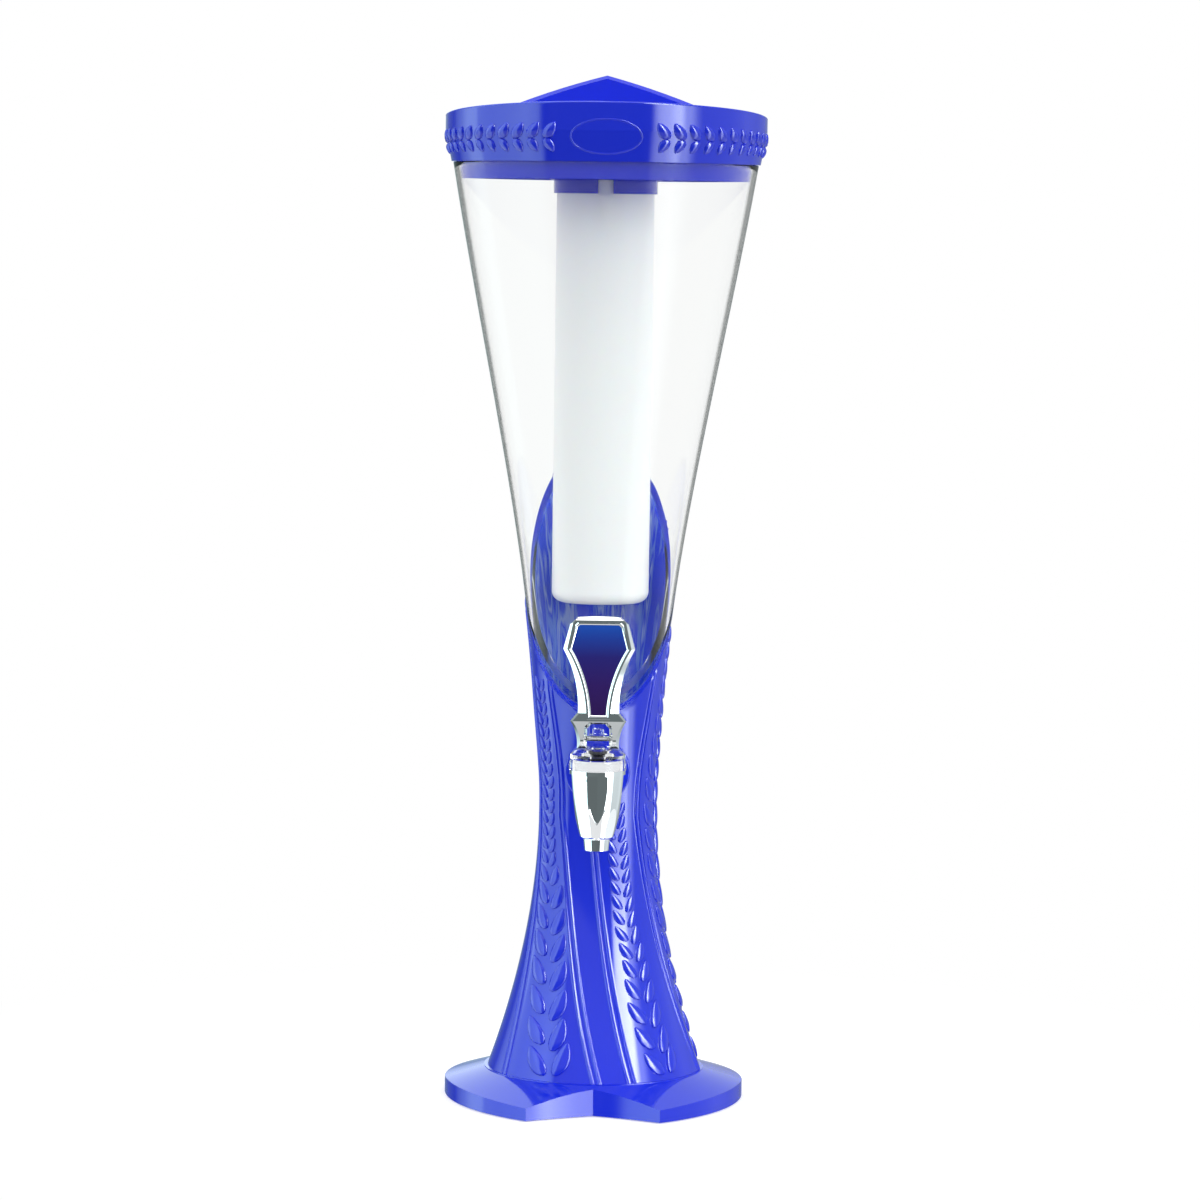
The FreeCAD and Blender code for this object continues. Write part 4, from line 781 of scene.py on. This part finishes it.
# ---- Spout ---------------------------------------------------------------------------------------
# The petals' upper edge is the V z = PETAL_APEX_Z + PETAL_STEEPNESS * abs(x). They stand out from
# the spout by PETAL_RISE for each millimetre above their foot.
PETAL_LOW_Z, PETAL_APEX_Z, PETAL_STEEPNESS = 173.0, 180.4, 1.8
PETAL_HALF_WIDTH, PETAL_RISE = 5.2, 0.125
PETAL_COLUMNS, PETAL_ROWS = 15, 12
# Clearance in front of the spout, depth of the petals' back in it, and where the rays start.
PETAL_GAP, PETAL_SEAT, RAY_START_Y = 0.05, 0.5, -0.2


def make_spout_petals():
    """The two raised petals that meet below the pointed arch on the spout's front."""
    body = NODES["tap_body"]
    columns = []
    for x in np.linspace(-PETAL_HALF_WIDTH, PETAL_HALF_WIDTH, PETAL_COLUMNS):
        top = PETAL_APEX_Z + PETAL_STEEPNESS * abs(x)
        outer = []
        for z in np.linspace(PETAL_LOW_Z, top, PETAL_ROWS):
            start = Vector((x * MM, RAY_START_Y, z * MM))
            met, place, _, _ = body.ray_cast(start, Vector((0, 1, 0)))
            y = place.y / MM if met else outer[-1][1]
            outer.append((x, y - PETAL_GAP - PETAL_RISE * (z - PETAL_LOW_Z), z))
        back = outer[-1][1] + PETAL_RISE * (top - PETAL_LOW_Z) + PETAL_SEAT
        columns.append(outer + [(x, back, top), (x, outer[0][1] + PETAL_SEAT, PETAL_LOW_Z)])
    size = len(columns[0])
    faces = grid_faces(len(columns), size, wrap_cols=True) + end_faces(len(columns), size)
    make_piece("spout_petals", columns, faces, "tower", CHROME, sharp=25)


# ---- Spring --------------------------------------------------------------------------------------
SPRING_RADIUS, WIRE_RADIUS = 6.1, 0.5
SPRING_LOW, SPRING_HIGH = 200.1, 216.5
SPRING_TURNS, STEPS_PER_TURN = 4, 32


def make_spring():
    """Round wire in a coil that moves unchanged with the stem; the real coil is pressed against the
    bonnet above it as the stem rises.
    """
    low, high = SPRING_LOW + WIRE_RADIUS, SPRING_HIGH - WIRE_RADIUS
    sides = np.radians(np.arange(0, 360, 30))
    rows = []
    for share in np.linspace(0, 1, SPRING_TURNS * STEPS_PER_TURN + 1):
        turn = 2 * math.pi * SPRING_TURNS * share
        radius = SPRING_RADIUS + WIRE_RADIUS * np.cos(sides)
        z = low + share * (high - low) + WIRE_RADIUS * np.sin(sides)
        rows.append(np.stack([radius * math.cos(turn), TAP_Y + radius * math.sin(turn), z], -1))
    size = len(sides)
    faces = grid_faces(len(rows), size, wrap_cols=True) + end_faces(len(rows), size)
    piece = make_piece("stem_spring_coil", rows, faces, "stem_part", STEEL, sharp=60)
    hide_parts("stem_spring")
    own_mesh(piece)


# ---- Finishes of the CAD nodes -------------------------------------------------------------------
CAD_SHARP_ANGLE = 28
FINISHES = {
    "foot": BLUE, "foot_cover": COVER, "foot_pads": RUBBER, "cover_screws": STEEL,
    "column_screws": STEEL, "lid": BLUE, "tube_gasket": SILICONE, "ice_tube": FROST,
    "tap_body": CHROME, "outer_washer": SILICONE, "inner_washer": SILICONE, "shank_nut": NYLON,
    "tap_bonnet": BONNET, "stem_ring": RUBBER, "stem": BONNET, "stem_seal": SILICONE,
    "handle_pin": STEEL, "tap_handle": CHROME, "handle_panel": panel_inlay("panel_violet_blue"),
}


def finish_node(name, material):
    """Gives a CAD node its material and smooth faces, sharp at its edges."""
    mesh = NODES[name].data
    mesh.materials.clear()
    mesh.materials.append(material)
    mesh.polygons.foreach_set("material_index", [0] * len(mesh.polygons))
    mesh.shade_smooth()
    mesh.set_sharp_from_angle(angle=math.radians(CAD_SHARP_ANGLE))


# ---- Stage ---------------------------------------------------------------------------------------
FLOOR_HALF = 30.0
# To bounced light the floor is dark in front of the first y and pale behind the second one.
FLOOR_DARK_Y = (-0.75, -0.25)
# To the camera the tower's shadow fades to white between these distances from the middle.
SHADOW_FADE = (0.16, 0.5)


def floor_white(name):
    """White to the camera but for the tower's shadow, and left out of what gloss reflects."""
    smooth = {"interpolation_type": "SMOOTHSTEP"}
    m = Material(name)
    m.set(Roughness=0.9, Specular_IOR_Level=0.0)
    place = m.add("TexCoord").outputs["Object"]
    front = m.share(m.axis(place, "Y"), *FLOOR_DARK_Y, **smooth)
    m.feed(Base_Color=m.ramp(front, [(0.0, (0.06, 0.06, 0.06)), (1.0, (0.8, 0.8, 0.8))]))
    far = m.add("VectorMath", operation="LENGTH")
    m.link(place, far.inputs[0])
    fade = m.share(far.outputs["Value"], *SHADOW_FADE, **smooth)
    near = m.join(m.add("BsdfDiffuse"), (0.8, 0.8, 0.8))
    glow = m.add("Emission")
    set_inputs(glow, Strength=0.35)
    shaded = m.both(near, glow.outputs[0])
    seen = m.mix(fade, shaded, m.add("Emission").outputs[0])
    path = m.add("LightPath")
    direct = m.math("MAXIMUM", path.outputs["Is Camera Ray"], path.outputs["Is Transmission Ray"])
    surface = m.mix(direct, m.shader.outputs[0], seen)
    open_floor = m.add("BsdfTransparent").outputs[0]
    m.show(m.mix(path.outputs["Is Glossy Ray"], surface, open_floor))
    return m.material


def make_floor():
    """A white table."""
    mesh = bpy.data.meshes.new("floor")
    s = FLOOR_HALF
    mesh.from_pydata([(-s, -s, 0), (s, -s, 0), (s, s, 0), (-s, s, 0)], [], [(0, 1, 2, 3)])
    floor = bpy.data.objects.new("floor", mesh)
    bpy.context.scene.collection.objects.link(floor)
    mesh.materials.append(floor_white("floor_white"))
    floor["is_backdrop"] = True


# What gloss and metal show of the studio. Each light: colour, strength, its profile by azimuth from
# the camera's side, and its profile by elevation.
SIDE_ELEVATION = ((-90, 0.2), (-50, 0.5), (-20, 0.9), (0, 1.0), (50, 1.0), (65, 0.25), (90, 0.1))
STUDIO = (
    ((0.74, 1.0, 1.0), 4.0,
     ((-180, 0.6), (-165, 0.3), (-140, 0.15), (-126, 1.2), (-117, 2.6), (-107, 3.2), (-104, 2.0),
      (-92, 2.1), (-75, 2.7), (-60, 3.4), (-50, 2.8), (-46, 0.1), (180, 0.0)),
     SIDE_ELEVATION),
    ((0.88, 0.98, 1.0), 8.0,
     ((-180, 0.0), (-44, 0.0), (-40, 0.1), (25, 0.1), (44, 0.3), (54, 5.0), (62, 5.6), (68, 2.0),
      (72, 0.8), (100, 0.8), (118, 0.9), (135, 0.5), (165, 0.3), (180, 0.6)),
     SIDE_ELEVATION),
    ((0.92, 1.0, 1.0), 20.0,
     ((-180, 0.0), (32, 0.0), (37, 16.0), (42, 20.0), (54, 20.0), (59, 0.0), (180, 0.0)),
     ((-90, 0.0), (-40, 0.1), (-2, 0.36), (4, 0.4), (12, 1.0), (52, 1.0), (62, 0.0), (90, 0.0))),
    ((1.0, 1.0, 1.0), 1.5,
     ((-180, 0.0), (-50, 0.0), (-44, 1.5), (28, 1.5), (34, 0.0), (180, 0.0)),
     ((-90, 0.0), (6, 0.0), (10, 0.35), (60, 0.35), (90, 0.6))),
    ((1.0, 1.0, 1.0), 1.5,
     ((-180, 1.5), (180, 1.5)),
     ((-90, 0.6), (-30, 0.5), (-25, 0.0), (60, 0.0), (66, 1.0), (90, 1.0))),
    ((0.85, 0.97, 1.0), 2.0,
     ((-180, 1.4), (-163, 1.3), (-153, 0.25), (-105, 0.15), (-95, 0.0), (150, 0.0), (166, 0.5),
      (180, 0.6)),
     ((-90, 0.0), (0, 0.0), (10, 1.0), (60, 1.0), (90, 0.3))),
)
# What lights the rest, as colour and strength.
SOFT_LIGHT = ((0.99, 0.985, 1.0), 0.95)
PLAIN_WHITE = ((1.0, 1.0, 1.0), 1.0)


def make_world():
    """Gloss sees the studio, the camera and clear parts see white, and the rest a soft light."""
    world = bpy.data.worlds.new("studio")
    bpy.context.scene.world = world
    world.use_nodes = True
    world.node_tree.nodes.clear()
    w = Tree(world.node_tree)

    def profile(share, stops, span, peak):
        """A light's level along an angle, in shares of its peak; share runs over the whole span."""
        return w.ramp(share, [(at / span + 0.5, (level / peak,) * 3) for at, level in stops])

    def product(first, second):
        return w.join(w.add("MixRGB", blend_type="MULTIPLY"), 1.0, first, second)

    def background(colour, strength):
        return w.join(w.add("Background"), colour, strength)

    place = w.add("TexCoord")
    parts = w.add("SeparateXYZ")
    w.link(place.outputs["Generated"], parts.inputs[0])
    ahead = w.math("MULTIPLY", parts.outputs["Y"], -1.0)
    azimuth = w.math("ARCTAN2", parts.outputs["X"], ahead)
    azimuth = w.math("ADD", w.math("DIVIDE", azimuth, 2 * math.pi), 0.5)
    elevation = w.math("ARCSINE", parts.outputs["Z"])
    elevation = w.math("ADD", w.math("DIVIDE", elevation, math.pi), 0.5)
    studio = None
    for colour, strength, around, up in STUDIO:
        shape = product(profile(azimuth, around, 360, strength), profile(elevation, up, 180, 1.0))
        light = background(product(shape, colour), strength)
        studio = light if studio is None else w.both(studio, light)
    path = w.add("LightPath")
    shown = w.math("MAXIMUM", path.outputs["Is Camera Ray"], path.outputs["Is Transmission Ray"])
    lit = w.mix(path.outputs["Is Glossy Ray"], background(*SOFT_LIGHT), studio)
    white = background(*PLAIN_WHITE)
    output = w.add("OutputWorld")
    w.link(w.mix(shown, lit, white), output.inputs["Surface"])


# Each lamp: name, place, height of the point on the tower's axis that it faces, size, power.
LAMPS = (
    ("lamp_left", (-1.5, -1.3, 1.1), 0.3, (1.2, 1.6), 7.0),
    ("lamp_right", (1.7, -1.1, 0.9), 0.3, (0.9, 1.5), 12.0),
    ("lamp_front", (0.3, -2.4, 1.2), 0.4, (1.0, 0.8), 5.0),
    ("lamp_top", (0.0, -0.3, 2.0), 0.2, (1.4, 1.4), 6.0),
)


def add_lamp(name, place, target_z, size, power):
    """A soft lamp that gloss, clear parts and the camera don't show."""
    lamp = bpy.data.lights.new(name, "AREA")
    lamp.shape = "RECTANGLE"
    lamp.size, lamp.size_y = size
    lamp.energy = power
    piece = bpy.data.objects.new(name, lamp)
    bpy.context.scene.collection.objects.link(piece)
    piece.location = place
    aim = Vector((0, 0, target_z)) - Vector(place)
    piece.rotation_euler = aim.to_track_quat("-Z", "Y").to_euler()
    piece.visible_glossy = False
    piece.visible_camera = False
    piece.visible_transmission = False


# The camera as fitted to the photograph, its angles in radians.
CAMERA_PLACE, CAMERA_PITCH, CAMERA_ROLL = (0, -2.8238, 0.549), 0.0846, 0.0141
CAMERA_LENS, CAMERA_SENSOR = 137.4, 36.0
CAMERA_CLIP = (0.05, 60)


def make_camera():
    camera = bpy.data.cameras.new("camera")
    camera.lens, camera.sensor_width = CAMERA_LENS, CAMERA_SENSOR
    camera.clip_start, camera.clip_end = CAMERA_CLIP
    piece = bpy.data.objects.new("camera", camera)
    bpy.context.scene.collection.objects.link(piece)
    pitch = Matrix.Rotation(math.pi / 2 - CAMERA_PITCH, 4, "X")
    roll = Matrix.Rotation(CAMERA_ROLL, 4, "Z")
    piece.matrix_world = Matrix.Translation(CAMERA_PLACE) @ (pitch @ roll)
    bpy.context.scene.camera = piece


# ---- Everything ----------------------------------------------------------------------------------
for node_name, node_material in FINISHES.items():
    finish_node(node_name, node_material)
make_column()
make_ears()
make_tank()
make_lid_leaves()
make_lid_oval()
make_lid_lip()
make_spout_petals()
make_spring()
make_floor()
make_world()
for lamp_values in LAMPS:
    add_lamp(*lamp_values)
make_camera()

scene = bpy.context.scene
scene.view_settings.view_transform = "Standard"
boxes = {"cad": CAD_BOX, "visual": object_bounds()}
{key: [list(corner) for corner in box] for key, box in boxes.items()}
